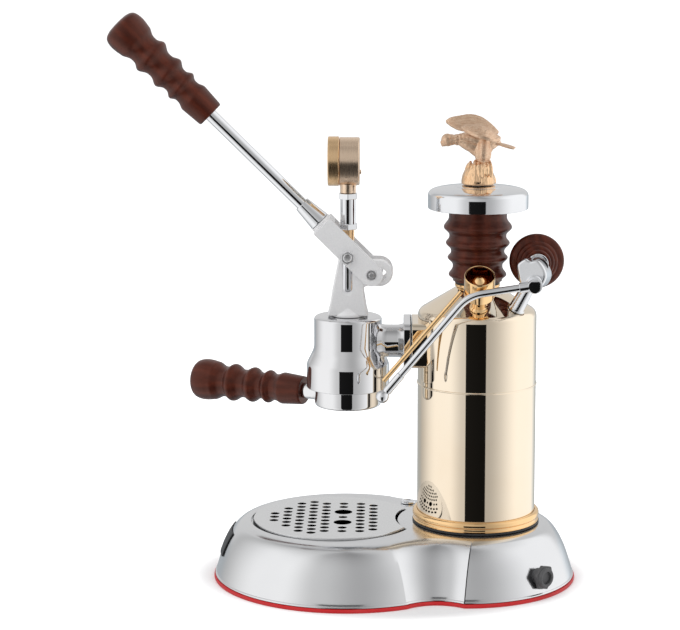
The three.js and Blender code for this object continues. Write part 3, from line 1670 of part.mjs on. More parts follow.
function makeBoiler() {
  const valve = new THREE.Group();
  valve.position.copy(conePoint(valveFootRadius, valveAngle));
  valve.quaternion.setFromUnitVectors(new THREE.Vector3(0, 0, 1), coneNormal(valveAngle));
  valve.add(piece('valve_body', makeValveBody(), gold));
  return at(boilerX, 0, 0,
    piece('foot_gasket', makeFootGasket(), rubber),
    piece('foot_ring', makeFootRing(), gold),
    piece('boiler_shell', makeBoilerShell(), gold),
    piece('heating_element', makeHeatingElement(), steel),
    piece('filler_collar', makeFillerCollar(), gold),
    valve,
    piece('discharge_pipe', makeDischargePipe(), gold),
    piece('sight_fitting_low', makeSightFitting(sightLow, 1), chrome),
    piece('sight_fitting_high', makeSightFitting(sightHigh, -1), chrome),
    piece('sight_tube', makeSightTube(), glass),
    piece('sight_shield', makeSightShield(), chrome),
    piece('steam_tap_body', makeTapBody(), chrome),
  );
}

function makeCap() {
  return at(boilerX, 0, 0,
    piece('cap_stem', makeCapStem(), brass),
    piece('cap_gasket', makeCapGasket(), rubber),
    piece('cap_grip', makeCapGrip(), wood),
    piece('cap_disc', makeCapDisc(), chrome),
    at(0, 0, discTop + gap, piece('eagle_finial', makeEagle(), gold)),
  );
}

// Discharge pipe from the side of the valve down past the group flange
function makeDischargePipe() {
  const tube = turnedRing([
    [pipeBore, 0],
    [pipeRadius, 0],
    [pipeRadius, pipeLength],
    [pipeBore, pipeLength],
  ], tinySides);
  const centre = conePoint(valveFootRadius, valveAngle)
    .addScaledVector(coneNormal(valveAngle), valveNeckLength + pipeStartHeight);
  const direction = new THREE.Vector3(
    -Math.cos(pipeSlope) * Math.cos(pipeToe),
    Math.sin(pipeToe),
    -Math.sin(pipeSlope) * Math.cos(pipeToe),
  );
  const reach = valveRadius + gap + pipeRadius * Math.sin(pipeSlope);
  const start = centre.addScaledVector(new THREE.Vector3(-1, 0, 0), reach);
  return aimed(tube, start, direction);
}

function makeGroup() {
  return at(groupX, 0, neckHeight,
    piece('group_body', makeGroupBody(), chrome),
    piece('flange_gasket', makeFlangeGasket(), rubber),
    piece('flange_bolt_near', makeFlangeBolt(-1), steel),
    piece('flange_bolt_far', makeFlangeBolt(1), steel),
    piece('group_gasket', makeGroupGasket(), rubber),
    piece('shower_screen', makeShowerScreen(), steel),
    piece('group_tower', makeTower(), chrome),
  );
}

function makePiston() {
  return at(groupX, 0, neckHeight,
    piece('piston_head', makePistonHead(), brass),
    piece('piston_seal', makePistonSeal(), rubber),
    piece('piston_rod', makePistonRod(), steel),
    piece('rod_pin', makeRodPin(), chrome),
    piece('gauge_neck', makeGaugeNeck(), brass),
    piece('gauge_tube', makeGaugeTube(), chrome),
    piece('gauge_case', makeGaugeCase(), brass),
    piece('gauge_dial', makeGaugeDial(), enamel),
    at(0, 0, gaugeZ, piece('gauge_needle', makeGaugeNeedle(), blackPlastic)),
    piece('gauge_glass', makeGaugeGlass(), glass),
    piece('gauge_bezel', makeGaugeBezel(), brass),
  );
}

function makeLever() {
  const lever = at(groupX + fulcrumX, 0, neckHeight + fulcrumZ,
    piece('lever_fork', makeFork(), chrome),
    piece('lever_sleeve', makeSleeve(), chrome),
    piece('lever_rod', makeLeverRod(), chrome),
    piece('lever_handle', makeLeverHandle(), wood),
    piece('fulcrum_pin', makeFulcrumPin(), steel),
  );
  lever.rotation.y = -Math.PI + leverAngle;
  return lever;
}

function makePortafilter() {
  const portafilter = at(groupX, 0, neckHeight,
    piece('portafilter_cup', makeCup(), chrome),
    piece('portafilter_handle', makePortafilterHandle(), wood),
    piece('filter_basket', makeBasket(), steel),
  );
  portafilter.rotation.z = Math.PI + portafilterAngle;
  return portafilter;
}

function makeSteamParts() {
  return at(boilerX, 0, 0,
    at(spindleX, 0, spindleZ,
      piece('steam_spindle', makeSpindle(), chrome),
      piece('steam_knob', makeKnob(), wood),
    ),
    at(swivelX, 0, swivelZ,
      piece('wand_swivel', makeSwivel(), chrome),
      piece('steam_wand', makeWand(), chrome),
      piece('steam_nozzle', makeNozzle(), chrome),
    ),
  );
}

const machine = new THREE.Group();
machine.add(
  makeBase(),
  makeBoiler(),
  makeCap(),
  makeGroup(),
  makePiston(),
  makeLever(),
  makePortafilter(),
  makeSteamParts(),
);

export default machine;
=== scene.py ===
# Lever espresso machine on its round-ended base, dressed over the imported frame.
# Lengths in the tables are millimetres; every mesh is made in metres, in the frame's place.
from math import acos, asin, atan2, cos, hypot, pi, radians, sin, sqrt, tan

import bmesh
import bpy
from mathutils import Matrix, Vector


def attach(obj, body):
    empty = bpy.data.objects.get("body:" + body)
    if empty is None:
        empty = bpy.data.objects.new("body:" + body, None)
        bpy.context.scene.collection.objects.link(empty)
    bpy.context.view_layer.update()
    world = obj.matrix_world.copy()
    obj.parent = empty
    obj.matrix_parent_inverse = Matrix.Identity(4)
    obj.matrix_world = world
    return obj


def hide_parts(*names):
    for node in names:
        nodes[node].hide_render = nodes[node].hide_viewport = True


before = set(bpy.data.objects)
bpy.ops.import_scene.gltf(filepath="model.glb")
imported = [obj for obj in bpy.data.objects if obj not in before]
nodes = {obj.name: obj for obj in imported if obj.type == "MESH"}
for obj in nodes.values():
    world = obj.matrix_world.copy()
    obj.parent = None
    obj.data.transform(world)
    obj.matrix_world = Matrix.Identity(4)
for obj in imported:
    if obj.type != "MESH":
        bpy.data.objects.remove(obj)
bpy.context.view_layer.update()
scene = bpy.context.scene

# Camera: a long lens a little above the machine, tilted down on its near side.
# Every view shows the same pale studio.
CAMERA_PLACE, CAMERA_AIM = (0.0401, -1.96, 0.5855), (-0.02194, 1.0, -0.14806)


def placed(name, data, place=(0.0, 0.0, 0.0), aim=None):
    """New object in the scene, looking along its aim where it has one."""
    item = bpy.data.objects.new(name, data)
    item.location = place
    if aim:
        item.rotation_euler = Vector(aim).to_track_quat("-Z", "Y").to_euler()
    scene.collection.objects.link(item)
    return item


camera_data = bpy.data.cameras.new("camera")
camera_data.sensor_width = 36.0
camera_data.lens = 127.44
camera_data.shift_y = -0.13
camera_data.clip_end = 30.0
scene.camera = placed("camera", camera_data, CAMERA_PLACE, CAMERA_AIM)
scene.view_settings.view_transform = "Standard"

# Studio: pale walls, brightest at both sides, greyer behind and in front, with a dark gap straight
# ahead of the machine. Only polished metal and glass show them; matt surfaces get an even light.


def connect(source, target):
    """Feed a socket or a plain value into a target socket."""
    if isinstance(source, bpy.types.NodeSocket):
        target.id_data.links.new(source, target)
    else:
        target.default_value = source


def sums(operation, *values):
    """Result of a maths node on sockets and plain values."""
    socket = next(value for value in values if isinstance(value, bpy.types.NodeSocket))
    node = socket.id_data.nodes.new("ShaderNodeMath")
    node.operation = operation
    for value, socket in zip(values, node.inputs):
        connect(value, socket)
    return node.outputs[0]


def times(first, second):
    return sums("MULTIPLY", first, second)


def smooth_step(value, low, high, bottom=0.0, top=1.0):
    node = value.id_data.nodes.new("ShaderNodeMapRange")
    node.interpolation_type = "SMOOTHSTEP"
    for name, item in (("Value", value), ("From Min", low), ("From Max", high),
                       ("To Min", bottom), ("To Max", top)):
        connect(item, node.inputs[name])
    return node.outputs["Result"]


def band(value, low, high, edge):
    """1 between low and high, 0 outside, with soft edges."""
    rise = smooth_step(value, low - edge, low + edge)
    return times(rise, smooth_step(value, high - edge, high + edge, 1.0, 0.0))


def mixed(share, first, second):
    """Colour between two colours or colour sockets."""
    node = share.id_data.nodes.new("ShaderNodeMix")
    node.data_type = "RGBA"
    for value, socket in ((share, 0), (first, 6), (second, 7)):
        connect((*value, 1.0) if isinstance(value, tuple) else value, node.inputs[socket])
    return node.outputs[2]


# Directions are in degrees: round the machine from the camera's side to the right, and above level
WALL_START, WALL_STEPS = 0.5, [(-145, -85, 0.56), (-58, -25, -0.38), (-25, 15, -0.2),
                               (16, 88, 0.64), (132, 164, -0.62)]
GAP_SIDES, GAP_HEIGHTS, GAP_DEPTH = (-23.0, 16.0, 0.7), (-89.0, 1.8, 0.8), 0.985
BEHIND_FROM, HIGH_FROM, HIGH_LEVEL, MATT_LEVEL = (132.0, 150.0), (-3.0, 6.0), 0.7, 0.45
WHITE, COLD_WHITE = (1.0, 1.0, 1.0), (0.88, 0.95, 1.0)
world = bpy.data.worlds.new("studio")
scene.world = world
world.use_nodes = True
room = world.node_tree
room.nodes.clear()
split = room.nodes.new("ShaderNodeSeparateXYZ")
connect(room.nodes.new("ShaderNodeTexCoord").outputs["Generated"], split.inputs[0])
to_right, to_back, to_top = split.outputs
around = sums("DEGREES", sums("ARCTAN2", to_right, times(to_back, -1.0)))
above = sums("DEGREES", sums("ARCSINE", to_top))
gap = times(band(around, *GAP_SIDES), band(above, *GAP_HEIGHTS))
shade = WALL_START
for low, high, change in WALL_STEPS:
    shade = sums("ADD", shade, smooth_step(around, low, high, 0.0, change))
behind = smooth_step(sums("ABSOLUTE", around), *BEHIND_FROM)
raised = times(behind, smooth_step(above, *HIGH_FROM))
shade = sums("ADD", shade, times(raised, sums("SUBTRACT", HIGH_LEVEL, shade)))
shade = times(shade, smooth_step(above, 35.0, 80.0, 1.0, 0.6))
shade = times(shade, sums("SUBTRACT", 1.0, times(gap, GAP_DEPTH)))
rays = room.nodes.new("ShaderNodeLightPath").outputs
polished = sums("MAXIMUM", rays["Is Glossy Ray"], rays["Is Transmission Ray"])
seen = times(polished, sums("SUBTRACT", shade, MATT_LEVEL))
seen = sums("MAXIMUM", sums("ADD", MATT_LEVEL, seen), rays["Is Camera Ray"])
background = room.nodes.new("ShaderNodeBackground")
connect(seen, background.inputs["Strength"])
low_behind = times(behind, smooth_step(above, *HIGH_FROM, 1.0, 0.0))
tint = mixed(times(low_behind, polished), WHITE, COLD_WHITE)
connect(tint, background.inputs["Color"])
room_output = room.nodes.new("ShaderNodeOutputWorld")
connect(background.outputs[0], room_output.inputs["Surface"])

# Lamps: three large soft boxes aimed at the machine, which no ray from it sees.
LAMP_TARGET = Vector((0.02, 0.0, 0.2))
for name, place, size, power in (("key_light", (-1.5, -1.3, 1.9), 1.5, 19.0),
                                 ("fill_light", (1.7, -1.5, 1.3), 1.6, 11.0),
                                 ("top_light", (0.1, 0.3, 2.3), 1.6, 12.0)):
    lamp = bpy.data.lights.new(name, "AREA")
    lamp.size = size
    lamp.energy = power
    soft_box = placed(name, lamp, place, LAMP_TARGET - Vector(place))
    soft_box.visible_glossy = soft_box.visible_transmission = soft_box.visible_camera = False

# Floor: plain pale paint that takes the lamps' shadow, with a glow that keeps the background white;
# the glow is painted low in a ring round the base, a painted shadow under and round it.


def stretched(vector, scale, turn=(0, 0, 0), move=(0, 0, 0)):
    node = vector.id_data.nodes.new("ShaderNodeMapping")
    for value, socket in zip((vector, move, turn, scale), node.inputs):
        connect(value, socket)
    return node.outputs["Vector"]


FLOOR_RADIUS, FLOOR_PAINT = 14.0, (0.86, 0.86, 0.87, 1.0)
BASE_SHARE, BASE_SHIFT = (0.78, 1.0, 1.0), (-0.0312, 0.0, 0.0)
GLOW_FROM, GLOW_TO, PAINTED_SHADOW_GLOW, FULL_GLOW = 0.11, 0.147, 0.1, 0.75
floor_shape = bmesh.new()
bmesh.ops.create_circle(floor_shape, cap_ends=True, segments=96, radius=FLOOR_RADIUS)
floor_mesh = bpy.data.meshes.new("floor")
floor_shape.to_mesh(floor_mesh)
floor_shape.free()
floor_material = bpy.data.materials.new("pale_floor")
floor_material.use_nodes = True
ground = floor_material.node_tree
ground.nodes.clear()
paint = ground.nodes.new("ShaderNodeBsdfDiffuse")
paint.inputs["Color"].default_value = FLOOR_PAINT
glow = ground.nodes.new("ShaderNodeEmission")
rays = ground.nodes.new("ShaderNodeLightPath").outputs
lit = sums("MAXIMUM", rays["Is Camera Ray"], rays["Is Glossy Ray"])
lit = sums("MAXIMUM", lit, rays["Is Transmission Ray"])
floor_place = ground.nodes.new("ShaderNodeTexCoord").outputs["Object"]
from_middle = ground.nodes.new("ShaderNodeVectorMath")
from_middle.operation = "LENGTH"
painted_shadow_place = stretched(floor_place, BASE_SHARE, move=BASE_SHIFT)
connect(painted_shadow_place, from_middle.inputs[0])
# Painted shadow: the floor's glow falls to its lowest close round the base and rises away from it.
level = smooth_step(from_middle.outputs["Value"], GLOW_FROM, GLOW_TO, PAINTED_SHADOW_GLOW, FULL_GLOW)
connect(times(lit, level), glow.inputs["Strength"])
both = ground.nodes.new("ShaderNodeAddShader")
connect(paint.outputs[0], both.inputs[0])
connect(glow.outputs[0], both.inputs[1])
floor_output = ground.nodes.new("ShaderNodeOutputMaterial")
connect(both.outputs[0], floor_output.inputs["Surface"])
floor_mesh.materials.append(floor_material)
floor = placed("floor", floor_mesh)
floor.visible_glossy = False

# Rubber rim: one moulded red strip under the shell's edge, pressed on by the sheet bottom plate,
# which closes the base from below with screws.
MM = 0.001
FRONT_X, REAR_X = 2.0, 98.5
FRONT_RADIUS, REAR_RADIUS = 108.5, 93.0
WAIST_X, WAIST_Y, WAIST_RADIUS, FOLD_SLANT = 77.4, 120.5, 35.0, 0.2


def crossing(ax, ay, a_radius, bx, by, b_radius, side):
    """Direction from the first circle's centre to where it meets the second circle."""
    distance = hypot(bx - ax, by - ay)
    spread = acos((distance ** 2 + a_radius ** 2 - b_radius ** 2) / (2 * distance * a_radius))
    return atan2(by - ay, bx - ax) + side * spread


def arc(x, y, radius, start, end, steps):
    turns = [start + (end - start) * step / steps for step in range(steps + 1)]
    return [(x + radius * cos(turn), y + radius * sin(turn)) for turn in turns]


def base_outline(inset, fold=0.0):
    """Plan of the base: front circle, hollow waist and rear circle, drawn in by the inset.

    The waist meets both circles in creases; the rear one is pressed in by the fold.
    """
    front, waist, rear = FRONT_RADIUS - inset, WAIST_RADIUS + inset, REAR_RADIUS - inset
    crease = crossing(REAR_X, 0, rear, WAIST_X, WAIST_Y, waist, -1)
    corner = crossing(FRONT_X, 0, front, WAIST_X, WAIST_Y, waist, 1)
    crease_x, crease_y = REAR_X + rear * cos(crease), rear * sin(crease)
    waist_from = atan2(crease_y - WAIST_Y, crease_x - WAIST_X)
    waist_to = atan2(front * sin(corner) - WAIST_Y, FRONT_X + front * cos(corner) - WAIST_X)
    half = arc(REAR_X, 0, rear, 0, crease - FOLD_SLANT * fold / rear, 56)
    if fold:
        half.append((crease_x, crease_y - fold))
    hollow = arc(WAIST_X, WAIST_Y, waist, waist_from - FOLD_SLANT * fold / waist, waist_to, 18)
    half += hollow if fold else hollow[1:]
    half += arc(FRONT_X, 0, front, corner, pi, 64)[1:]
    return half + [(x, -y) for x, y in reversed(half[1:-1])]


def ring_of(shape, outline, z):
    verts = [shape.verts.new((x * MM, y * MM, z * MM)) for x, y in outline]
    return [shape.edges.new(pair) for pair in zip(verts, verts[1:] + verts[:1])]


def filled(shape, edges, normal=(0, 0, 0)):
    bmesh.ops.triangle_fill(shape, use_beauty=True, edges=edges, normal=normal)


def outward(shape):
    bmesh.ops.recalc_face_normals(shape, faces=shape.faces)
    return shape


def stacked(outline, levels, close_first=False, close_last=False):
    """Skin through the outline at each (inset, height), with the ends closed where asked."""
    shape = bmesh.new()
    rings = [ring_of(shape, outline(inset), z) for inset, z in levels]
    for lower, upper in zip(rings, rings[1:]):
        bmesh.ops.bridge_loops(shape, edges=lower + upper)
    if close_first:
        filled(shape, rings[0])
    if close_last:
        filled(shape, rings[-1])
    return outward(shape)


def fitted(shape, name, material, body, slot, *stands_for, smooth=35):
    """Put a finished shape into the scene as a piece that rides on its body."""
    mesh = bpy.data.meshes.new(name)
    shape.to_mesh(mesh)
    shape.free()
    for polygon in mesh.polygons:
        polygon.use_smooth = True
    mesh.set_sharp_from_angle(angle=radians(smooth))
    mesh.materials.append(material)
    piece = placed(name, mesh)
    shading = piece.modifiers.new("shading", "WEIGHTED_NORMAL")
    shading.keep_sharp = True
    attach(piece, body)
    if stands_for:
        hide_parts(*stands_for)
    return piece


SOCKET_KINDS = {"Place": "NodeSocketVector", "Color": "NodeSocketColor"}


def new_group(name, inputs, outputs=("Roughness", "Wear", "Height")):
    """Empty shader group with a place, its own inputs and its outputs."""
    group = bpy.data.node_groups.new(name, "ShaderNodeTree")
    for way, labels in (("INPUT", ("Place", *inputs)), ("OUTPUT", outputs)):
        for label in labels:
            kind = SOCKET_KINDS.get(label, "NodeSocketFloat")
            group.interface.new_socket(label, in_out=way, socket_type=kind)
    taken = group.nodes.new("NodeGroupInput").outputs
    return group, taken, group.nodes.new("NodeGroupOutput").inputs


def placed_group(group, **values):
    """Put a group into the tree that its place comes from, and give its outputs."""
    node = values["Place"].id_data.nodes.new("ShaderNodeGroup")
    node.node_tree = group
    for label, value in values.items():
        connect(value, node.inputs[label])
    return node.outputs


def noise(vector, scale, detail, roughness=0.55, distortion=0.0):
    node = vector.id_data.nodes.new("ShaderNodeTexNoise")
    for label, value in (("Vector", vector), ("Scale", scale), ("Detail", detail),
                         ("Roughness", roughness), ("Distortion", distortion)):
        connect(value, node.inputs[label])
    return node.outputs["Fac"]


def new_finish(name, **sockets):
    """Material with one Principled surface, that surface and the Object coordinates."""
    material = bpy.data.materials.new(name)
    material.use_nodes = True
    tree = material.node_tree
    surface = tree.nodes["Principled BSDF"]
    for label, value in sockets.items():
        surface.inputs[label.replace("_", " ")].default_value = value
    place = tree.nodes.new("ShaderNodeTexCoord").outputs["Object"]
    return material, surface, place


def bumped(surface, height, strength, depth):
    node = height.id_data.nodes.new("ShaderNodeBump")
    node.inputs["Strength"].default_value = strength
    node.inputs["Distance"].default_value = depth
    connect(height, node.inputs["Height"])
    connect(node.outputs["Normal"], surface.inputs["Normal"])


def dressed(surface, out, clean, worn):
    """Colour a surface by a group's wear and give it the group's roughness."""
    connect(mixed(out["Wear"], clean, worn), surface.inputs["Base Color"])
    connect(out["Roughness"], surface.inputs["Roughness"])


# Moulded grain: fine pits, and dust that dulls and pales the surface in soft patches.
moulded_grain, taken, given = new_group("moulded grain", ["Dust"])
pits = noise(taken["Place"], 2600.0, 2.0)
cloudy = noise(taken["Place"], 34.0, 5.0, 0.6)
patches = smooth_step(cloudy, 0.42, 0.75)
connect(pits, given["Height"])
connect(times(patches, taken["Dust"]), given["Wear"])
rough_patches = times(patches, 0.16)
connect(sums("ADD", 0.44, rough_patches), given["Roughness"])


def moulded(name, colour, dusty, dust, pit=0.12):
    material, surface, place = new_finish(name)
    out = placed_group(moulded_grain, Place=place, Dust=dust)
    dressed(surface, out, colour, dusty)
    bumped(surface, out["Height"], pit, 0.0002)
    return material


red_rubber = moulded("red_rubber", (0.64, 0.014, 0.018), (0.66, 0.09, 0.09), 0.25)
black_rubber = moulded("black_rubber", (0.016, 0.017, 0.019), (0.07, 0.07, 0.075), 0.3)
black_plastic = moulded("black_plastic", (0.014, 0.015, 0.016), (0.05, 0.05, 0.055), 0.2, 0.08)

RIM_LEVELS = [(5, 3.2), (-0.9, 3.2), (-1.4, 3), (-1.75, 2.4), (-1.9, 1.5), (-1.85, 0.7),
              (-1.5, 0.15), (-1, 0), (5, 0), (5, 3.2)]
rim = stacked(base_outline, RIM_LEVELS)
bmesh.ops.remove_doubles(rim, verts=rim.verts, dist=1e-6)
outward(rim)
fitted(rim, "base_rim", red_rubber, "machine", "red_rubber", "base_gasket")

# Base shell: one deep-drawn steel sheet, turned in at the grate opening, polished and chromed.
# A small bead runs round it just above the rubber.


def flowing(keys, steps):
    """Smooth curve through key points, with the given steps between two keys."""
    points = [Vector(key) for key in keys]
    points = [2 * points[0] - points[1], *points, 2 * points[-1] - points[-2]]
    curve = []
    for a, b, c, d in zip(points, points[1:], points[2:], points[3:]):
        for step in range(steps):
            t = step / steps
            curve.append(0.5 * (2 * b + (c - a) * t + (2 * a - 5 * b + 4 * c - d) * t * t
                                + (3 * b - a - 3 * c + d) * t ** 3))
    return [tuple(point) for point in curve] + [tuple(keys[-1])]


BASE_TOP = 48.0
BEAD = [(1.2, 3.5), (-0.4, 3.5), (-0.82, 3.7), (-0.95, 4.15), (-0.85, 4.7), (-0.45, 5.1),
        (0.05, 5.3)]
WALL_KEYS = [(0.05, 5.3), (0.45, 7.6), (1.5, 11.2), (3.25, 16.8), (5.35, 23.2), (8, 29.6),
             (11.3, 35.9), (15.4, 41.7), (19.6, 45.5), (23.6, 47.3), (27, 47.95)]
GRATE_X, GRATE_RADIUS, CUT_RADIUS, CUT_OFFSET = -8.5, 67.5, 66.3, 119.0


def grate_outline(inset):
    """Plan of the grate: a circle cut by the arc that clears the boiler."""
    radius, cut = GRATE_RADIUS - inset, CUT_RADIUS + inset
    corner = crossing(0, 0, radius, CUT_OFFSET, 0, cut, 1)
    swing = asin(radius * sin(corner) / cut)
    edge = arc(GRATE_X, 0, radius, corner, 2 * pi - corner, 150)
    return edge + arc(GRATE_X + CUT_OFFSET, 0, cut, pi + swing, pi - swing, 36)[1:-1]


# Polish: faint wiping haze and finger marks in the gloss, and a slow wave left by pressing.
polish, taken, given = new_group("polish", ["Gloss", "Haze"])
haze = smooth_step(noise(taken["Place"], 26.0, 6.0, 0.62, 0.6), 0.45, 0.8)
wiped = noise(stretched(taken["Place"], (40.0, 40.0, 900.0)), 1.0, 3.0)
haze = times(haze, sums("ADD", 0.6, times(wiped, 0.8)))
connect(sums("ADD", taken["Gloss"], times(haze, taken["Haze"])), given["Roughness"])
connect(smooth_step(noise(taken["Place"], 9.0, 4.0), 0.35, 0.75), given["Wear"])
connect(noise(taken["Place"], 7.0, 1.0), given["Height"])


def polished_metal(name, colour, aged, gloss, haze, wave=0.0):
    material, surface, place = new_finish(name, Metallic=1.0)
    out = placed_group(polish, Place=place, Gloss=gloss, Haze=haze)
    dressed(surface, out, colour, aged)
    if wave:
        bumped(surface, out["Height"], 1.0, wave)
    return material


shell_chrome = polished_metal("shell_chrome", (0.79, 0.795, 0.805), (0.74, 0.745, 0.76), 0.17, 0.06)
wall = BEAD[:-1] + flowing(WALL_KEYS, 5)
well = [(-1.9, 47.97), (-1.45, 47.86), (-1.12, 47.55), (-1, 47.1), (-1, 44.6), (4.5, 44.6)]
shell = stacked(lambda inset: base_outline(inset, 2.2), wall)
rim_of_top = [edge for edge in shell.edges if edge.is_boundary and edge.verts[0].co.z > 0.04]
wells = [ring_of(shell, grate_outline(inset), z) for inset, z in well]
for upper, lower in zip(wells, wells[1:]):
    bmesh.ops.bridge_loops(shell, edges=upper + lower)
filled(shell, rim_of_top + wells[0])
outward(shell)
shell_piece = fitted(shell, "base_casing", shell_chrome, "machine", "chrome", "base_shell",
                     smooth=13)
sheet = shell_piece.modifiers.new("sheet", "SOLIDIFY")
sheet.thickness = 1.2 * MM
sheet.offset = -1.0
shell_piece.modifiers.move(1, 0)

# Drip tray: a moulded black pan that hangs by its rim in the base's opening.
# The grate rests on the rim.
tray_levels = [(4.8, 22.1), (4.8, 44.9), (0.3, 44.9), (0.3, 46.1), (5.6, 46.1), (6, 45.7),
               (6, 25.2), (6.5, 23.8), (8, 23.3)]
tray = stacked(grate_outline, tray_levels, close_first=True, close_last=True)
fitted(tray, "drip_pan", black_plastic, "tray", "black_plastic", "drip_tray")

# Drip grate: a laser-cut steel sheet with rounded hole edges, polished and chromed, cut out
# round the boiler's foot. Rows of small holes stand on both sides of two large ones.


def bevelled(shape, edges, width, segments):
    bmesh.ops.bevel(shape, geom=edges, offset=width * MM, offset_type="OFFSET", segments=segments,
                    profile=0.5, affect="EDGES", clamp_overlap=True, material=-1)


def soften(shape, width, segments=2, angle=40.0, above_z=None):
    """Round the edges that turn by more than the angle."""
    sharp = [edge for edge in shape.edges if len(edge.link_faces) == 2
             and edge.calc_face_angle(0.0) > radians(angle)
             and (above_z is None or min(vert.co.z for vert in edge.verts) > above_z * MM)]
    bevelled(shape, sharp, width, segments)
    return shape


def thickened(shape, rise):
    """Flat faces drawn out along Z into a closed plate."""
    drawn = bmesh.ops.extrude_face_region(shape, geom=shape.faces[:])
    verts = [item for item in drawn["geom"] if isinstance(item, bmesh.types.BMVert)]
    bmesh.ops.translate(shape, verts=verts, vec=(0, 0, rise * MM))
    return outward(shape)


def with_parts(shape, *others):
    """Add other shapes to this one and let them go."""
    for other in others:
        spare = bpy.data.meshes.new("spare")
        other.to_mesh(spare)
        other.free()
        shape.from_mesh(spare)
        bpy.data.meshes.remove(spare)
    return shape


HOLE, LARGE_HOLE, PITCH, LARGE_PITCH = 3.75, 7.5, 10.7, 16.2
SMALL_COLUMNS = ((-57.775, 3), (-47.075, 6), (-36.375, 9), (-25.675, 10), (-14.975, 9), (14.225, 9),
                 (24.925, 8))
LARGE_COLUMN, SHEET, HOLE_EDGE = -0.375, 0.6, 0.15
holes = [(x, (index - (count - 1) / 2) * PITCH, HOLE) for x, count in SMALL_COLUMNS
         for index in range(count)]
holes += [(LARGE_COLUMN, share * LARGE_PITCH, HOLE) for share in (-2.66, -2.0, 0.0, 2.0, 2.66)]
holes += [(LARGE_COLUMN, side * LARGE_PITCH, LARGE_HOLE) for side in (-1, 1)]
grate = bmesh.new()
GRATE_TOP = BASE_TOP + 1.3
cut_edges = ring_of(grate, grate_outline(0.9), GRATE_TOP)
for hole_x, hole_y, hole_radius in holes:
    cut_edges += ring_of(grate, arc(hole_x, hole_y, hole_radius, 0, 2 * pi, 28)[:-1], GRATE_TOP)
filled(grate, cut_edges, (0, 0, 1))
thickened(grate, -SHEET)
soften(grate, HOLE_EDGE, above_z=GRATE_TOP - 0.1)
grate_edge = stacked(grate_outline, [(0.95, GRATE_TOP - 0.4), (0.9, 47.0), (1.7, 47.0),
                                     (1.7, GRATE_TOP - 0.4)])

# Brushing: fine lines along one direction in the gloss, colour and relief.
brushing, taken, given = new_group("brushing", ["Gloss", "Spread"])
lines = noise(taken["Place"], 1.0, 4.0, 0.7)
connect(sums("ADD", taken["Gloss"], times(lines, taken["Spread"])), given["Roughness"])
connect(smooth_step(lines, 0.3, 0.7), given["Wear"])
connect(lines, given["Height"])


def brushed_metal(name, colour, shaded, gloss, spread, line=(900.0, 900.0, 900.0), depth=0.00004,
                  metal=1.0):
    """Satin metal with its brushing lines along the axis that the line scale stretches."""
    material, surface, place = new_finish(name, Metallic=metal)
    grain = stretched(place, line)
    out = placed_group(brushing, Place=grain, Gloss=gloss, Spread=spread)
    dressed(surface, out, shaded, colour)
    bumped(surface, out["Height"], 0.5, depth)
    return material


grate_chrome = brushed_metal("grate_chrome", (0.86, 0.865, 0.87), (0.79, 0.795, 0.80), 0.2, 0.1,
                             (60.0, 4000.0, 4000.0))
fitted(with_parts(grate, grate_edge), "perforated_grate", grate_chrome, "grate", "chrome",
       "drip_grate")

# Base trim: a blank dark plate bent round the nose, and a blank turned button beside the grate,
# both stuck on.


def wall_inset(z):
    """How far the shell's wall has drawn in at a height."""
    for (inset_low, low), (inset_high, high) in zip(wall, wall[1:]):
        if low <= z <= high:
            return inset_low + (inset_high - inset_low) * (z - low) / (high - low)
    return wall[-1][0]


NOSE_SPREAD, NOSE_HEIGHT, NOSE_HALF = radians(12.0), 30.0, 9.5
NOSE_PROUD, NOSE_THICK = 0.3, 0.9
nose = bmesh.new()
bmesh.ops.create_grid(nose, x_segments=24, y_segments=10, size=1.0)
for vert in nose.verts:
    turn = pi + NOSE_SPREAD * vert.co.x
    height = NOSE_HEIGHT + NOSE_HALF * vert.co.y
    reach = FRONT_RADIUS - wall_inset(height) + NOSE_PROUD
    vert.co = ((FRONT_X + reach * cos(turn)) * MM, reach * sin(turn) * MM, height * MM)
outward(nose)
if sum(face.normal.x for face in nose.faces) > 0:
    bmesh.ops.reverse_faces(nose, faces=nose.faces)
bmesh.ops.solidify(nose, geom=nose.faces[:], thickness=-NOSE_THICK * MM)
outward(nose)
soften(nose, 0.3, 2, 60.0)
plate_enamel = moulded("plate_enamel", (0.02, 0.021, 0.023), (0.05, 0.05, 0.055), 0.2, 0.04)
fitted(nose, "nose_plate", plate_enamel, "machine", "black_plastic", "front_plate")


def moved(shape, x, y, z):
    """Shift a shape by millimetres."""
    bmesh.ops.translate(shape, verts=shape.verts, vec=(x * MM, y * MM, z * MM))
    return shape


def spun(profile, steps, x=0, y=0, z=0):
    """Turned body about an upright axis from (radius, height) points, set at a place."""
    shape = bmesh.new()
    verts = [shape.verts.new((radius * MM, 0, height * MM)) for radius, height in profile]
    edges = [shape.edges.new(pair) for pair in zip(verts, verts[1:])]
    bmesh.ops.spin(shape, geom=verts + edges, cent=(0, 0, 0), axis=(0, 0, 1), angle=2 * pi,
                   steps=steps, use_merge=True)
    bmesh.ops.remove_doubles(shape, verts=shape.verts, dist=1e-6)
    outward(shape)
    return moved(shape, x, y, z)


trim_chrome = polished_metal("trim_chrome", (0.82, 0.83, 0.85), (0.77, 0.78, 0.80), 0.06, 0.06)
BUTTON_PLACE = (54.4, 51.8, 48.3)
BUTTON = [(0, 0), (6, 0), (6.4, 0.3), (6.4, 1.1), (6, 1.6), (5.5, 1.6), (5.1, 1.15), (4.3, 1.05),
          (3.9, 1.35), (3.5, 1.05), (2.2, 1.1), (1.7, 1.5), (0.9, 1.6), (0, 1.62)]
fitted(spun(BUTTON, 48, *BUTTON_PLACE), "round_button", trim_chrome, "machine", "chrome",
       "emblem_button")

# Cable gland and power switch: a moulded hexagonal bush and a rocker in its bezel, both snapped
# into the shell's rear wall.


def transformed(shape, matrix):
    bmesh.ops.transform(shape, matrix=matrix, verts=shape.verts)
    return shape


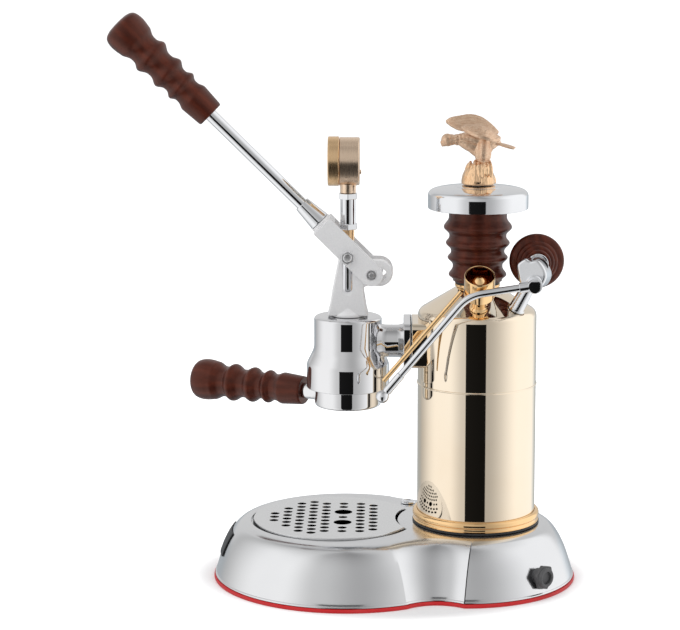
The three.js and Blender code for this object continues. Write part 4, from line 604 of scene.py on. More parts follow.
def moved_to(origin):
    """Matrix of a shift to a point in millimetres."""
    return Matrix.Translation(Vector(origin) * MM)


def turned_to(direction):
    """Matrix of the turn that brings Z to a direction."""
    return Vector((0, 0, 1)).rotation_difference(Vector(direction)).to_matrix().to_4x4()


def aimed(shape, origin, direction):
    """Turn a shape's Z to a direction and set it at a point in millimetres."""
    return transformed(shape, moved_to(origin) @ turned_to(direction))


def hex_bar(flats, low, high, width=0.4):
    """Hexagonal bar along Z with softened ends."""
    shape = bmesh.new()
    bmesh.ops.create_circle(shape, cap_ends=True, segments=6, radius=flats / sqrt(3) * MM)
    thickened(moved(shape, 0, 0, low), high - low)
    return soften(shape, width, 2, 30.0)


GLAND_TURN, GLAND_Z, GLAND_INSET = radians(-46.0), 18.4, 3.78
gland_out = Vector((cos(GLAND_TURN), sin(GLAND_TURN), 0))
gland_seat = Vector((REAR_X, 0, GLAND_Z)) + (REAR_RADIUS - GLAND_INSET) * gland_out
GLAND = [(5, -8.5), (6.4, -9), (6.4, 3.4), (8.5, 3.4), (8.5, 4.4), (8.3, 6.4), (8.4, 6.5),
         (7.5, 8.6), (7.1, 9), (5.6, 9), (5, 8.4), (5, -8.5)]
gland = spun(GLAND, 48)
collar = hex_bar(18.4, 3.6, 6.4, 0.5)
grey_nylon = moulded("grey_nylon", (0.085, 0.085, 0.088), (0.17, 0.17, 0.175), 0.3, 0.08)
fitted(aimed(with_parts(gland, collar), gland_seat, gland_out), "lead_bush", grey_nylon, "machine",
       "black_plastic", "cable_gland")


def coloured(material, *names):
    """Give plain nodes of the frame a material."""
    for name in names:
        nodes[name].data.materials[0] = material


coloured(black_plastic, "switch_bezel", "switch_rocker")

# Boiler foot: a rubber ring under the boiler, and a turned brass ring that holds the boiler down,
# gilt a deeper colour than the tube.
BOILER_X = 110.5
pale_gold = polished_metal("pale_gold", (0.93, 0.81, 0.65), (0.90, 0.76, 0.585), 0.03, 0.025,
                           0.0001)
deep_gold = polished_metal("deep_gold", (0.98, 0.68, 0.36), (0.93, 0.605, 0.30), 0.06, 0.06)
steel = brushed_metal("spun_steel", (0.55, 0.56, 0.57), (0.42, 0.43, 0.44), 0.28, 0.15)
gasket = spun([(30.3, 48.1), (52.2, 48.1), (52.75, 48.5), (52.75, 49.3), (52.3, 49.85),
               (30.3, 49.85), (30.3, 48.1)], 128, BOILER_X)
fitted(gasket, "foot_seal", black_rubber, "machine", "rubber", "foot_gasket")
FOOT_RING = [(49.3, 49.95), (52, 49.95), (52.35, 50.3), (52.3, 50.7), (51.8, 51), (51.55, 51.5),
             (51.55, 53), (51.8, 53.5), (52.3, 53.8), (52.65, 54.3), (52.75, 55.2), (52.7, 56.2),
             (52.45, 57.1), (51.9, 57.9), (51.1, 58.4), (50, 58.55), (49.3, 58.5), (49.3, 49.95)]
fitted(spun(FOOT_RING, 160, BOILER_X), "foot_collar", deep_gold, "machine", "gold", "foot_ring")

# Boiler: a drawn brass tube with a seam bead, closed by a rounded shoulder and a cone, with a cast
# block brazed on for the group. Polished and gilt; the immersion element is bolted in from below.
SHOULDER, CONE, BOILER_RADIUS, NECK_RADIUS = 226.0, radians(32.0), 49.0, 17.6


def cone_height(radius):
    return SHOULDER + (BOILER_RADIUS - radius) * tan(CONE)


SHOULDER_ROUND = 7.0
shoulder_reach = SHOULDER_ROUND * tan((pi / 2 - CONE) / 2)
outer = [(22, 49.9), (48.4, 49.9), (49, 50.5), (49, 164.55), (49.08, 164.75), (49.45, 164.95),
         (49.65, 165.2), (49.7, 165.5), (49.65, 165.8), (49.45, 166.05), (49.08, 166.25),
         (49, 166.45)]
outer += arc(BOILER_RADIUS - SHOULDER_ROUND, SHOULDER - shoulder_reach, SHOULDER_ROUND, 0,
             pi / 2 - CONE, 18)
outer += [(NECK_RADIUS + 1.2, cone_height(NECK_RADIUS + 1.2)),
          (NECK_RADIUS, cone_height(NECK_RADIUS) + 0.2), (13.0, cone_height(NECK_RADIUS) + 0.2)]
inner = [(13, 243), (NECK_RADIUS, cone_height(NECK_RADIUS) - 1.9), (47.4, cone_height(47.4) - 1.9),
         (47.4, 51.5), (22, 51.5), (22, 49.9)]
boiler = spun(outer + inner, 224, BOILER_X)
fitted(boiler, "boiler_tube", pale_gold, "machine", "gold", "boiler_shell", smooth=30)


def box(x, y, z):
    """Block of these lengths, centred on the origin."""
    shape = bmesh.new()
    bmesh.ops.create_cube(shape, size=1.0)
    bmesh.ops.scale(shape, verts=shape.verts, vec=(x * MM, y * MM, z * MM))
    return shape


def rounded_plate(wide, tall, corner, x_from, x_to, edge=0.5):
    """Upright plate across X with rounded corners, its middle on the X axis."""
    shape = moved(box(x_to - x_from, wide, tall), (x_from + x_to) / 2, 0, 0)
    corners = [item for item in shape.edges if abs(item.verts[0].co.x - item.verts[1].co.x) > 1e-5]
    bevelled(shape, corners, corner, 8)
    return soften(shape, edge, 3, 50.0)


NECK_Z, GROUP_X = 199.8, 3.7
BLOCK_WIDE, BLOCK_TALL, BLOCK_CORNER = 52.0, 37.0, 5.0
block = rounded_plate(BLOCK_WIDE, BLOCK_TALL, BLOCK_CORNER, -54.0, -36.0, 0.6)
fitted(moved(block, BOILER_X, 0, NECK_Z), "boiler_block", pale_gold, "machine", "gold")
coloured(steel, "heating_element", "bottom_plate")

# Filler collar: a turned brass ring screwed into the cone, gilt, with a small groove.
COLLAR = [(13, 245.9), (17, 245.9), (18.2, 246.4), (18.65, 246.9), (18.65, 247.4), (18.3, 247.6),
          (18.3, 247.8), (18.65, 248), (18.65, 248.5), (18.3, 248.75), (13.4, 248.75), (13, 248.4),
          (13, 245.9)]
fitted(spun(COLLAR, 112, BOILER_X), "filler_ring", deep_gold, "machine", "gold", "filler_collar")

# Safety valve and discharge pipe: a turned brass cup on a short neck, square to the cone, with a
# bore round its inner cone lined in very dark bronze as painted shade, and a thin gilt tube that
# leads the steam down and away.
cone_out = Vector((0, -sin(CONE), cos(CONE)))
valve_seat = Vector((BOILER_X, -36.0, cone_height(36.0)))
VALVE = [(0, 0.3), (7.4, 0.3), (7.6, 0.7), (7.4, 1.5), (6.5, 2.1), (5.8, 3), (5.8, 11.6),
         (6.3, 12.7), (7.4, 13.3), (10.9, 13.5), (12, 13.9), (12.5, 14.9), (12.5, 34.2),
         (12.35, 34.9), (12, 35.25), (11.6, 35.2), (11.35, 34.8), (11.3, 24), (10.6, 22.8),
         (0, 22.8)]
valve = spun(VALVE, 96)
pin = spun([(0, 22), (8.6, 22), (8.2, 25), (6.6, 28.6), (4.4, 31), (2.2, 32.2), (0, 32.5)], 64)
fitted(aimed(with_parts(valve, pin), valve_seat, cone_out), "valve_cup", deep_gold, "machine",
       "gold", "valve_body")
# Painted shade: a very dark bronze lining inside the cup's bore, which darkens the hollow.
painted_shade_bronze = polished_metal("painted_shade_bronze", (0.30, 0.13, 0.06), (0.22, 0.09, 0.04), 0.08, 0.08)
bore = spun([(11.3, 34.9), (11.1, 34.7), (11.05, 24.2), (10.4, 23.1), (0, 23.1)], 96)
fitted(aimed(bore, valve_seat, cone_out), "valve_painted_shade_lining", painted_shade_bronze, "machine", "gold")
pipe_slope, pipe_toe = radians(50.2), radians(3.5)
pipe_way = Vector((-cos(pipe_slope) * cos(pipe_toe), sin(pipe_toe),
                   -sin(pipe_slope) * cos(pipe_toe)))
pipe_start = valve_seat + 18.0 * cone_out + Vector((-(12.8 + 2.0 * sin(pipe_slope)), 0, 0))
PIPE = [(1.3, 0), (1.9, 0), (2, 0.15), (2, 97.8), (1.85, 98), (1.4, 98), (1.3, 97.8), (1.3, 0)]
fitted(aimed(spun(PIPE, 40), pipe_start, pipe_way), "steam_outlet", deep_gold, "machine", "gold",
       "discharge_pipe")

# Sight glass on the far side: a glass tube between two chromed nuts, with a half-round sheet
# guard behind it.
SIGHT_Y, NUT_FLATS, NUT_HALF = 62.0, 8.5 * sqrt(3), 6.5
GUARD_RADIUS, GUARD_LOW, GUARD_HIGH, GUARD_SWEEP = 9.0, 90.9, 183.1, radians(200.0)
clear_glass, glass_surface, glass_place = new_finish(
    "clear_glass", Metallic=0.0, IOR=1.5, Transmission_Weight=1.0)
glass_out = placed_group(polish, Place=glass_place, Gloss=0.015, Haze=0.03)
dressed(glass_surface, glass_out, (0.97, 0.985, 0.98), (0.93, 0.95, 0.945))


def turned(shape, angle, axis):
    """Turn a shape about an axis through the origin."""
    return transformed(shape, Matrix.Rotation(angle, 4, axis))


for name, middle, stands_for in (("sight_nut_low", 84.0, "sight_fitting_low"),
                                 ("sight_nut_high", 190.0, "sight_fitting_high")):
    nut = hex_bar(NUT_FLATS, middle - NUT_HALF, middle + NUT_HALF, 0.6)
    moved(nut, BOILER_X, SIGHT_Y, 0)
    stub = spun([(0, -14), (6.5, -14), (6.5, -1.2), (7.6, -0.6), (7.6, 0), (0, 0)], 64)
    aimed(stub, (BOILER_X, SIGHT_Y, middle), (0, 1, 0))
    fitted(with_parts(nut, stub), name, trim_chrome, "machine", "chrome", stands_for)
TUBE = [(3.8, 84.3), (5, 84.3), (5, 189.7), (3.8, 189.7), (3.8, 84.3)]
fitted(spun(TUBE, 48, BOILER_X, SIGHT_Y), "sight_glass", clear_glass, "machine", "glass",
       "sight_tube")
guard = bmesh.new()
guard_edge = [guard.verts.new((GUARD_RADIUS * MM, 0, z * MM)) for z in (GUARD_LOW, GUARD_HIGH)]
guard_line = [guard.edges.new(guard_edge)]
bmesh.ops.spin(guard, geom=guard_edge + guard_line, cent=(0, 0, 0), axis=(0, 0, 1),
               angle=GUARD_SWEEP, steps=40, use_merge=False)
turned(guard, radians(170), "Z")
outward(guard)
bmesh.ops.solidify(guard, geom=guard.faces[:], thickness=1.0 * MM)
fitted(moved(guard, BOILER_X, SIGHT_Y, 0), "sight_guard", trim_chrome, "machine", "chrome",
       "sight_shield")

# Steam tap: a cast brass body on a neck square to the cone, with a gland nut behind and a boss in
# front, polished and chromed.


def turned_loop(keys, steps):
    """Smooth closed outline through its key points."""
    return flowing([keys[-1], *keys, keys[0], keys[1]], steps)[steps:steps * (len(keys) + 1)]


def facing_plate(outline, thickness, middle, edge, segments=3, angle=40.0):
    """Plate whose outline lies in XZ, with its thickness centred on a place along Y."""
    shape = bmesh.new()
    filled(shape, ring_of(shape, outline, -thickness / 2), (0, 0, 1))
    bmesh.ops.dissolve_limit(shape, angle_limit=0.01, verts=shape.verts, edges=shape.edges,
                             delimit=set())
    thickened(shape, thickness)
    if edge:
        soften(shape, edge, segments, angle)
    return moved(turned(shape, pi / 2, "X"), 0, middle, 0)


cast_chrome = polished_metal("cast_chrome", (0.80, 0.81, 0.83), (0.74, 0.75, 0.77), 0.16, 0.08,
                             0.0006)
TAP_X, TAP_Z, SPINDLE_X, SPINDLE_Z = 155.0, 264.3, 158.7, 268.5
SWIVEL_X, SWIVEL_Z = 154.0, 257.8
TOOTH = [(-0.38, 0.4), (-0.5, 0.24), (-0.44, -0.2), (-0.3, -0.48), (0.1, -0.5), (0.36, -0.42),
         (0.5, -0.12), (0.44, 0.16), (0.24, 0.42), (0.06, 0.44), (-0.08, 0.41), (-0.22, 0.48)]
TOOTH_WIDE, TOOTH_TALL, TOOTH_THICK, TOOTH_Y, TOOTH_EDGE = 24.6, 23.8, 20.0, -40.0, 2.6
tooth = turned_loop([(x * TOOTH_WIDE, z * TOOTH_TALL) for x, z in TOOTH], 4)
casting = facing_plate(tooth, TOOTH_THICK, TOOTH_Y, TOOTH_EDGE, 5, 50.0)
lean = Matrix.Rotation(radians(-18.0), 3, "Z") @ Matrix.Rotation(radians(-5.0), 3, "X")
bmesh.ops.rotate(casting, verts=casting.verts, cent=(0, TOOTH_Y * MM, 0), matrix=lean)
moved(casting, TAP_X, 0, TAP_Z)
FOOT_TURN, FOOT_REACH = radians(-40.0), 40.0
foot_way = Vector((cos(FOOT_TURN), sin(FOOT_TURN), 0))
foot_out = sin(CONE) * foot_way + Vector((0, 0, cos(CONE)))
foot_at = FOOT_REACH * foot_way + Vector((BOILER_X, 0, cone_height(FOOT_REACH)))
neck = spun([(0, 0.3), (7, 0.3), (7.3, 0.8), (7, 1.6), (6.4, 2.4), (5.3, 27), (0, 27.5)], 56)
aimed(neck, foot_at, foot_out)
gland_nut = spun([(0, -12), (7.2, -12), (7.2, 3.3), (6.6, 4), (3.35, 4), (3.35, 0), (0, 0)], 56)
aimed(gland_nut, (SPINDLE_X, -30.0, SPINDLE_Z), (0, 1, 0))
boss = spun([(0, -12), (6.4, -12), (6.4, 4.7), (5.8, 5.4), (0, 5.4)], 56)
aimed(boss, (SWIVEL_X, -50.0, SWIVEL_Z), (0, -1, 0))
fitted(with_parts(casting, neck, gland_nut, boss), "tap_casting", cast_chrome, "machine", "chrome",
       "steam_tap_body")

# Tap spindle and its wheel: a turned steel stem with a ferrule, and a turned hardwood wheel pressed
# on it.
SPINDLE = [(0, -10), (3, -10), (3, 4.35), (8.2, 4.35), (8.6, 4.8), (8.6, 7.6), (8.2, 8.05),
           (3, 8.05), (3, 19), (0, 19.5)]
fitted(aimed(spun(SPINDLE, 56), (SPINDLE_X, -30.0, SPINDLE_Z), (0, 1, 0)), "tap_stem", trim_chrome,
       "knob", "chrome", "steam_spindle")

# Turned wood: growth rings and long pores that run with the grain, fine turning marks across it and
# a thin satin oil finish.
LIGHT_WOOD, DARK_WOOD, PORE_WOOD = ((0.115, 0.023, 0.0115), (0.044, 0.008, 0.0045),
                                    (0.022, 0.007, 0.005))
wood, taken, given = new_group("turned wood", [], ("Color", "Roughness", "Height"))
drift = wood.nodes.new("ShaderNodeVectorMath")
drift.operation = "ADD"
connect(taken["Place"], drift.inputs[0])
drift.inputs[1].default_value = (0.031, 0.017, 0.023)
drifted = drift.outputs[0]
lengthwise = stretched(drifted, (16.0, 150.0, 150.0))
rings = wood.nodes.new("ShaderNodeTexWave")
rings.wave_type = "RINGS"
rings.rings_direction = "X"
connect(stretched(drifted, (2.0, 26.0, 15.0)), rings.inputs["Vector"])
for label, value in (("Scale", 2.1), ("Distortion", 5.0), ("Detail", 3.0), ("Detail Scale", 1.6)):
    rings.inputs[label].default_value = value
streaks = noise(lengthwise, 1.0, 6.0, 0.62, 0.3)
pores = noise(stretched(drifted, (70.0, 1500.0, 1500.0)), 1.0, 3.0, 0.6)
pores = smooth_step(pores, 0.56, 0.7)
tone = sums("ADD", times(rings.outputs["Fac"], 0.24), times(streaks, 0.75))
tone = smooth_step(tone, 0.25, 0.95)
plain = mixed(tone, DARK_WOOD, LIGHT_WOOD)
pored = mixed(times(pores, 0.4), plain, PORE_WOOD)
connect(pored, given["Color"])
connect(sums("ADD", 0.31, times(pores, 0.2)), given["Roughness"])
marks = noise(stretched(drifted, (2600.0, 60.0, 60.0)), 1.0, 2.0)
relief = sums("SUBTRACT", times(marks, 0.35), pores)
connect(relief, given["Height"])


def oiled_wood(name, turn):
    """Wood whose grain runs along the piece's own axis, which the turn brings onto X."""
    material, surface, place = new_finish(name, Specular_Tint=(1.0, 0.6, 0.5, 1.0))
    grain = stretched(place, (1.0, 1.0, 1.0), turn)
    out = placed_group(wood, Place=grain)
    connect(out["Color"], surface.inputs["Base Color"])
    connect(out["Roughness"], surface.inputs["Roughness"])
    bumped(surface, out["Height"], 0.25, 0.00012)
    return material


knob_wood = oiled_wood("knob_wood", (0, 0, pi / 2))
KNOB_LENGTH, KNOB_RADIUS = 19.0, 22.5
KNOB_KEYS = [(0, 0.42), (0.03, 0.47), (0.14, 0.5), (0.21, 0.47), (0.25, 0.58), (0.33, 0.63),
             (0.37, 0.61), (0.41, 0.7), (0.49, 0.76), (0.53, 0.745), (0.58, 0.86), (0.66, 0.96),
             (0.76, 1), (0.87, 0.97), (0.95, 0.8), (0.992, 0.5), (1, 0)]
knob_side = flowing([(radius * KNOB_RADIUS, along * KNOB_LENGTH) for along, radius in KNOB_KEYS], 8)
knob_side[-1] = (0.0, knob_side[-1][1])
wheel = spun([(0, 11.8), (3.3, 11.8), (3.3, 0.3), (3.6, 0), *knob_side], 120)
fitted(aimed(wheel, (SPINDLE_X, -21.65, SPINDLE_Z), (0, 1, 0)), "tap_wheel", knob_wood, "knob",
       "wood", "steam_knob")

# Swivel, wand and nozzle: a turned plug that turns in the boss, a bent steel tube and an acorn tip
# screwed on it, all chromed.
PLUG = [(0, 0), (5.6, 0), (6, 0.4), (6, 12.9), (5.7, 13.6), (4.9, 14), (0, 14)]
plug = aimed(spun(PLUG, 72), (SWIVEL_X, -55.7, SWIVEL_Z), (0, -1, 0))
WAND_TILT, WAND_FALL = radians(9.0), radians(50.3)
WAND_REACH, WAND_BEND, WAND_DROP = 53.5, 12.0, 72.0
wand_root = Vector((SWIVEL_X, -65.5, SWIVEL_Z))
outwards = Vector((-cos(WAND_TILT), 0, -sin(WAND_TILT)))
downwards = Vector((-cos(WAND_FALL), 0, -sin(WAND_FALL)))
COLLAR_TUBE = [(0, 0), (4.2, 0), (4.2, 11.9), (3.95, 12.5), (3.3, 12.5), (0, 12.3)]
fitted(with_parts(plug, aimed(spun(COLLAR_TUBE, 56), wand_root, outwards)), "wand_joint",
       trim_chrome, "wand", "chrome", "wand_swivel")
wand_corner = wand_root + WAND_REACH * outwards
bend_from, bend_to = wand_corner - WAND_BEND * outwards, wand_corner + WAND_BEND * downwards
wand_end = bend_to + WAND_DROP * downwards
bend = [bend_from.lerp(wand_corner, t / 24).lerp(wand_corner.lerp(bend_to, t / 24), t / 24)
        for t in range(25)]
wand_line = [wand_root + 12.0 * outwards, *bend, wand_end]


def tube(line, radius, steps=40):
    """Round bar along a line of points, with closed ends."""
    shape = bmesh.new()
    rings = []
    for index, point in enumerate(line):
        way = (line[min(index + 1, len(line) - 1)] - line[max(index - 1, 0)]).normalized()
        verts = bmesh.ops.create_circle(shape, cap_ends=False, segments=steps,
                                        radius=radius * MM)["verts"]
        bmesh.ops.transform(shape, matrix=moved_to(point) @ turned_to(way), verts=verts)
        rings.append(list({edge for vert in verts for edge in vert.link_edges}))
    for lower, upper in zip(rings, rings[1:]):
        bmesh.ops.bridge_loops(shape, edges=lower + upper)
    for end in (rings[0], rings[-1]):
        filled(shape, end)
    return outward(shape)


fitted(tube(wand_line, 3.0), "steam_tube", trim_chrome, "wand", "chrome", "steam_wand")
NOZZLE = [(0, 0.3), (3.35, 0.3), (3.5, 0.6), (3.5, 17.2), (3.2, 17.9), (3.1, 18.5), (3.5, 19.3),
          (4.4, 20.4), (4.95, 21.6), (5.2, 22.8), (5.15, 24.2), (4.8, 25.5), (4.1, 26.7), (3, 27.5),
          (1.8, 27.9), (1, 27.9), (1, 25.3), (0, 25.3)]
fitted(aimed(spun(NOZZLE, 64), wand_end, downwards), "nozzle_tip", trim_chrome, "wand", "chrome",
       "steam_nozzle")

# Filler cap: a turned hardwood grip under a spun, chromed disc, clamped together on a brass stem
# whose plug screws into the collar on a rubber ring.
COLLAR_TOP, GRIP_LENGTH, GRIP_RADIUS = 249.0, 60.2, 28.1
GRIP_BOTTOM = COLLAR_TOP + 1.6


def ribbed(extremes, length, radius, steps=12):
    """Soft valleys and tighter crests between (share along, share of radius) extremes."""
    side = []
    for (start, first), (end, second) in zip(extremes, extremes[1:]):
        for step in range(steps):
            share = step / steps
            climb = share if second > first else 1 - share
            rise = ((1 - cos(pi * climb)) / 2) ** 1.45
            low, high = min(first, second), max(first, second)
            side.append((radius * (low + (high - low) * rise),
                         length * (start + (end - start) * share)))
    return side


def at_height(side, height):
    """Raise a profile of (radius, height) points."""
    return [(radius, along + height) for radius, along in side]


GRIP_CRESTS = [(0, 0.69), (0.01, 0.72), (0.09, 0.847), (0.213, 0.73), (0.33, 0.883), (0.41, 0.783),
               (0.53, 0.936), (0.624, 0.836), (0.747, 1), (0.9, 0.85), (1, 0.9)]
grip_side = at_height(ribbed(GRIP_CRESTS, GRIP_LENGTH, GRIP_RADIUS), GRIP_BOTTOM)
grip_side = [(5.4, GRIP_BOTTOM), *grip_side, (25.3, 310.8), (5.4, 310.8), (5.4, GRIP_BOTTOM)]
grip_wood = oiled_wood("grip_wood", (0, pi / 2, 0))
fitted(spun(grip_side, 144, BOILER_X), "cap_handle", grip_wood, "cap", "wood", "cap_grip",
       smooth=60)
CAP_STEM = [(0, 235), (10.2, 235), (11.8, 236.2), (12.4, 237.4), (12.4, 249), (5, 249), (5, 320),
            (0, 320)]
stem_brass = brushed_metal("stem_brass", (0.62, 0.42, 0.19), (0.5, 0.32, 0.13), 0.2, 0.14)
fitted(spun(CAP_STEM, 64, BOILER_X), "cap_screw", stem_brass, "cap", "brass", "cap_stem")
SEAL = [(12.7, 249.05), (18.3, 249.05), (18.5, 249.6), (18.3, 250.3), (12.7, 250.3), (12.7, 249.05)]
fitted(spun(SEAL, 72, BOILER_X), "cap_ring", black_rubber, "cap", "rubber", "cap_gasket")
DISC_BOTTOM = 311.1
disc = [(5.35, 0), (24.2, 0), (24.2, 1.4), (38.9, 1.4), (39.8, 0.3), (40.6, 0), (41.1, 0.3),
        (41.3, 1), (41.3, 10.6)]
disc += flowing([(41.3, 10.8), (40.8, 12.7), (39, 14.8), (35.4, 16.1), (30, 17), (24.5, 17.7),
                 (20.1, 18.1)], 6)
disc += [(19.6, 18.05), (19.3, 17.75), (19, 18.1), (18.5, 18.25), (14, 19.2), (9.8, 19.8),
         (5.35, 19.8), (5.35, 0)]
fitted(spun(disc, 192, BOILER_X, 0, DISC_BOTTOM), "cap_plate", trim_chrome, "cap", "chrome",
       "cap_disc", smooth=30)

# Group: a cast brass cylinder that opens into a bell for the portafilter, with a side neck and
# flange bolted to the boiler over a gasket; machined, polished and chromed.
group_chrome = polished_metal("group_chrome", (0.80, 0.80, 0.81), (0.76, 0.76, 0.775), 0.03, 0.03,
                              0.0002)


def filleted(corners, steps=7):
    """Profile through (radius, height, rounding) corners, each rounded by its own reach."""
    side = []
    for index, (radius, height, reach) in enumerate(corners):
        here = Vector((radius, height))
        if reach == 0:
            side.append((radius, height))
            continue
        back = Vector(corners[index - 1][:2]) - here
        ahead = Vector(corners[index + 1][:2]) - here
        start = here + back.normalized() * min(reach, 0.49 * back.length)
        end = here + ahead.normalized() * min(reach, 0.49 * ahead.length)
        for step in range(steps + 1):
            share = step / steps
            side.append(tuple(start.lerp(here, share).lerp(here.lerp(end, share), share)))
    return side


def on_group(profile, steps):
    return spun(profile, steps, GROUP_X, 0, NECK_Z)


bell = filleted([(26.6, -38.8, 0), (34.2, -38.8, 1.3), (34.2, -37, 0), (34.2, -18.4, 2.2),
                 (28.06, -6.2, 4), (28.06, 15, 0), (28.06, 21.2, 4.2), (13.3, 21.2, 0),
                 (13.3, 14.8, 0), (22.4, 14.8, 0), (22.4, -27.2, 0), (30.1, -27.2, 0),
                 (30.1, -35.2, 0), (26.6, -35.2, 0), (26.6, -38.8, 0)])
group = on_group(bell, 192)
neck = spun(filleted([(0, 24, 0), (15.6, 24, 0), (13.6, 30, 2.5), (13.6, 42.5, 2), (14.9, 46.6, 0),
                      (0, 46.6, 0)]), 128)
aimed(neck, (GROUP_X, 0, NECK_Z), (1, 0, 0))
flange = moved(rounded_plate(BLOCK_WIDE, BLOCK_TALL, BLOCK_CORNER, 46.0, 51.7), GROUP_X, 0, NECK_Z)
fitted(with_parts(group, neck, flange), "group_casting", group_chrome, "machine", "chrome",
       "group_body", smooth=30)
coloured(black_rubber, "flange_gasket", "group_gasket")
coloured(steel, "shower_screen")
FLANGE_BOLT_Y = 19.0
SHANK = [(0, 43), (3, 43), (3, 57.8), (0, 57.8)]
for side, name, stands_for in ((-1, "flange_screw_near", "flange_bolt_near"),
                               (1, "flange_screw_far", "flange_bolt_far")):
    screw = turned(with_parts(hex_bar(10.0, 41.7, 45.7), spun(SHANK, 32)), pi / 6, "Z")
    aimed(screw, (GROUP_X, side * FLANGE_BOLT_Y, NECK_Z), (1, 0, 0))
    fitted(screw, name, steel, "machine", "steel", stands_for)

# Tower: a cast pillar on the group with two slotted cheeks that guide the piston rod's pin, and an
# ear behind with a level slot for the lever's roller. Ground, then satin chromed.
satin_chrome = brushed_metal("satin_chrome", (0.95, 0.95, 0.955), (0.89, 0.89, 0.90), 0.46, 0.14,
                             depth=0.00008, metal=0.35)


def loose(shape):
    """Object that holds a shape while modifiers work on it."""
    mesh = bpy.data.meshes.new("loose")
    shape.to_mesh(mesh)
    shape.free()
    return placed("loose", mesh)


def solved(item, *others):
    """Shape that an object's modifiers give; the objects are let go."""
    bpy.context.view_layer.update()
    result = bmesh.new()
    result.from_mesh(item.evaluated_get(bpy.context.evaluated_depsgraph_get()).to_mesh())
    for used in (item, *others):
        data = used.data
        bpy.data.objects.remove(used)
        (bpy.data.meshes if isinstance(data, bpy.types.Mesh) else bpy.data.curves).remove(data)
    return result


def carved(shape, *tools):
    """Cut the tools out of a shape and let them go."""
    item, *cutters = (loose(part) for part in (shape, *tools))
    for cutter in cutters:
        cut = item.modifiers.new("cut", "BOOLEAN")
        cut.object = cutter
        cut.solver = "EXACT"
    return solved(item, *cutters)


def slot_outline(x1, z1, x2, z2, radius):
    start = atan2(z2 - z1, x2 - x1)
    return (arc(x2, z2, radius, start - pi / 2, start + pi / 2, 16)
            + arc(x1, z1, radius, start + pi / 2, start + 3 * pi / 2, 16))


EAR_X, EAR_Z, EAR_RADIUS, TOWER_HALF = 25.9, 58.8, 11.2, 11.7
PIN_TRAVEL, PIN_SLOT, PANEL_SLOT = (0, 45.85, 0, 73.85), 3.7, 4.7
ROLLER_TRAVEL, ROLLER_SLOT = (17.8, 57.6, 27.2, 57.6), 4.7
tower_outline = [(-16.9, 22.4), (16.9, 22.4), (15.4, 28), (13.2, 41), (12.9, 45.4), (13.6, 47.2),
                 (16.5, 47.9)]
tower_outline += arc(EAR_X, EAR_Z, EAR_RADIUS, -pi * 0.47, pi / 2, 30)
tower_outline += [(8.6, 70), (7.8, 70.9), (7.6, 72), (7.6, 77.6), (6.9, 79.6), (5.6, 80.8),
                  (3.8, 81.2), (-3.8, 81.2), (-5.6, 80.8), (-6.9, 79.6), (-7.6, 77.6), (-7.6, 69.2),
                  (-13.2, 41), (-15.4, 28)]
tower = facing_plate(tower_outline, 2 * TOWER_HALF, 0.0, 1.5, 4, 50.0)
channel = moved(box(110.0, 17.6, 49.5), 0, 0, 60.95)
pin_slot = facing_plate(slot_outline(*PIN_TRAVEL, PIN_SLOT), 40.0, 0.0, 0.0)
roller_slot = facing_plate(slot_outline(*ROLLER_TRAVEL, ROLLER_SLOT), 40.0, 0.0, 0.0)
panels = [facing_plate(slot_outline(0, 44.4, 0, 73.85, PANEL_SLOT), 1.6, side * TOWER_HALF, 0.0)
          for side in (-1, 1)]
tower = carved(tower, channel, pin_slot, roller_slot, *panels)
tower_foot = spun(filleted([(0, 21.5, 0), (14.3, 21.5, 0.5), (14.4, 23.6, 0.6), (12.6, 25.6, 1.6),
                            (11.2, 31, 0), (0, 31, 0)]), 96)
moved(with_parts(tower, tower_foot), GROUP_X, 0, NECK_Z)
fitted(tower, "slotted_pillar", satin_chrome, "machine", "chrome", "group_tower", smooth=32)

# Eagle finial: a lost-wax cast brass bird landing on a rock, gilt and screwed on the cap's
# stem. The wings and the body are left matt with chased feather lines, the rock is polished.


def at_bird(*point):
    return Vector((BOILER_X + point[0], point[1], point[2])) * MM


def blade(root, tip, width, thickness, up=(0, 0, 1)):
    """Flattened spindle from one point to another."""
    shape = bmesh.new()
    bmesh.ops.create_uvsphere(shape, u_segments=20, v_segments=12, radius=0.5)
    reach = Vector(tip) - Vector(root)
    forth = reach.normalized()
    level = (Vector(up) - forth * forth.dot(Vector(up))).normalized()
    turn = Matrix((forth, level.cross(forth), level)).transposed().to_4x4()
    size = Matrix.Diagonal((reach.length * MM, width * MM, thickness * MM, 1.0))
    middle = Matrix.Translation((at_bird(*root) + at_bird(*tip)) / 2)
    return transformed(shape, middle @ turn @ size)


FORWARD = (1, 0, 0)
# Each wing's root and outer edge from its front tip back: the near wing droops, the far one rises
NEAR_WING = ([(-14.5, 6, 378), (-9, 5, 379.6), (-3, 4.5, 379.4), (3, 4.5, 378), (9, 5.5, 375.6),
              (14, 8, 372.6), (17.6, 11, 370.4)],
             [(-15, 7, 377), (-10.5, 15, 375.6), (-4, 20.5, 373.2), (2.5, 22.5, 371.6),
              (8.5, 21.5, 370), (13.5, 18, 368.8), (17.4, 12.5, 369.2)])
FAR_WING = ([(-26.4, 15, 380.2), (-22, 12, 377.2), (-16, 9, 374.6), (-9.5, 6, 374.4),
             (-2, 5, 374.8), (5, 5.5, 374), (11, 8, 372), (16.5, 11, 371.4)],
            [(-26.7, 16, 381.4), (-22.5, 20, 383.4), (-15.5, 22, 384.6), (-6, 23, 385.6),
             (1.5, 22.5, 384), (7, 20.5, 381.2), (12.5, 17, 377), (17, 13, 372.6)])
FEATHERS, FEATHER_ROWS = 7, 54


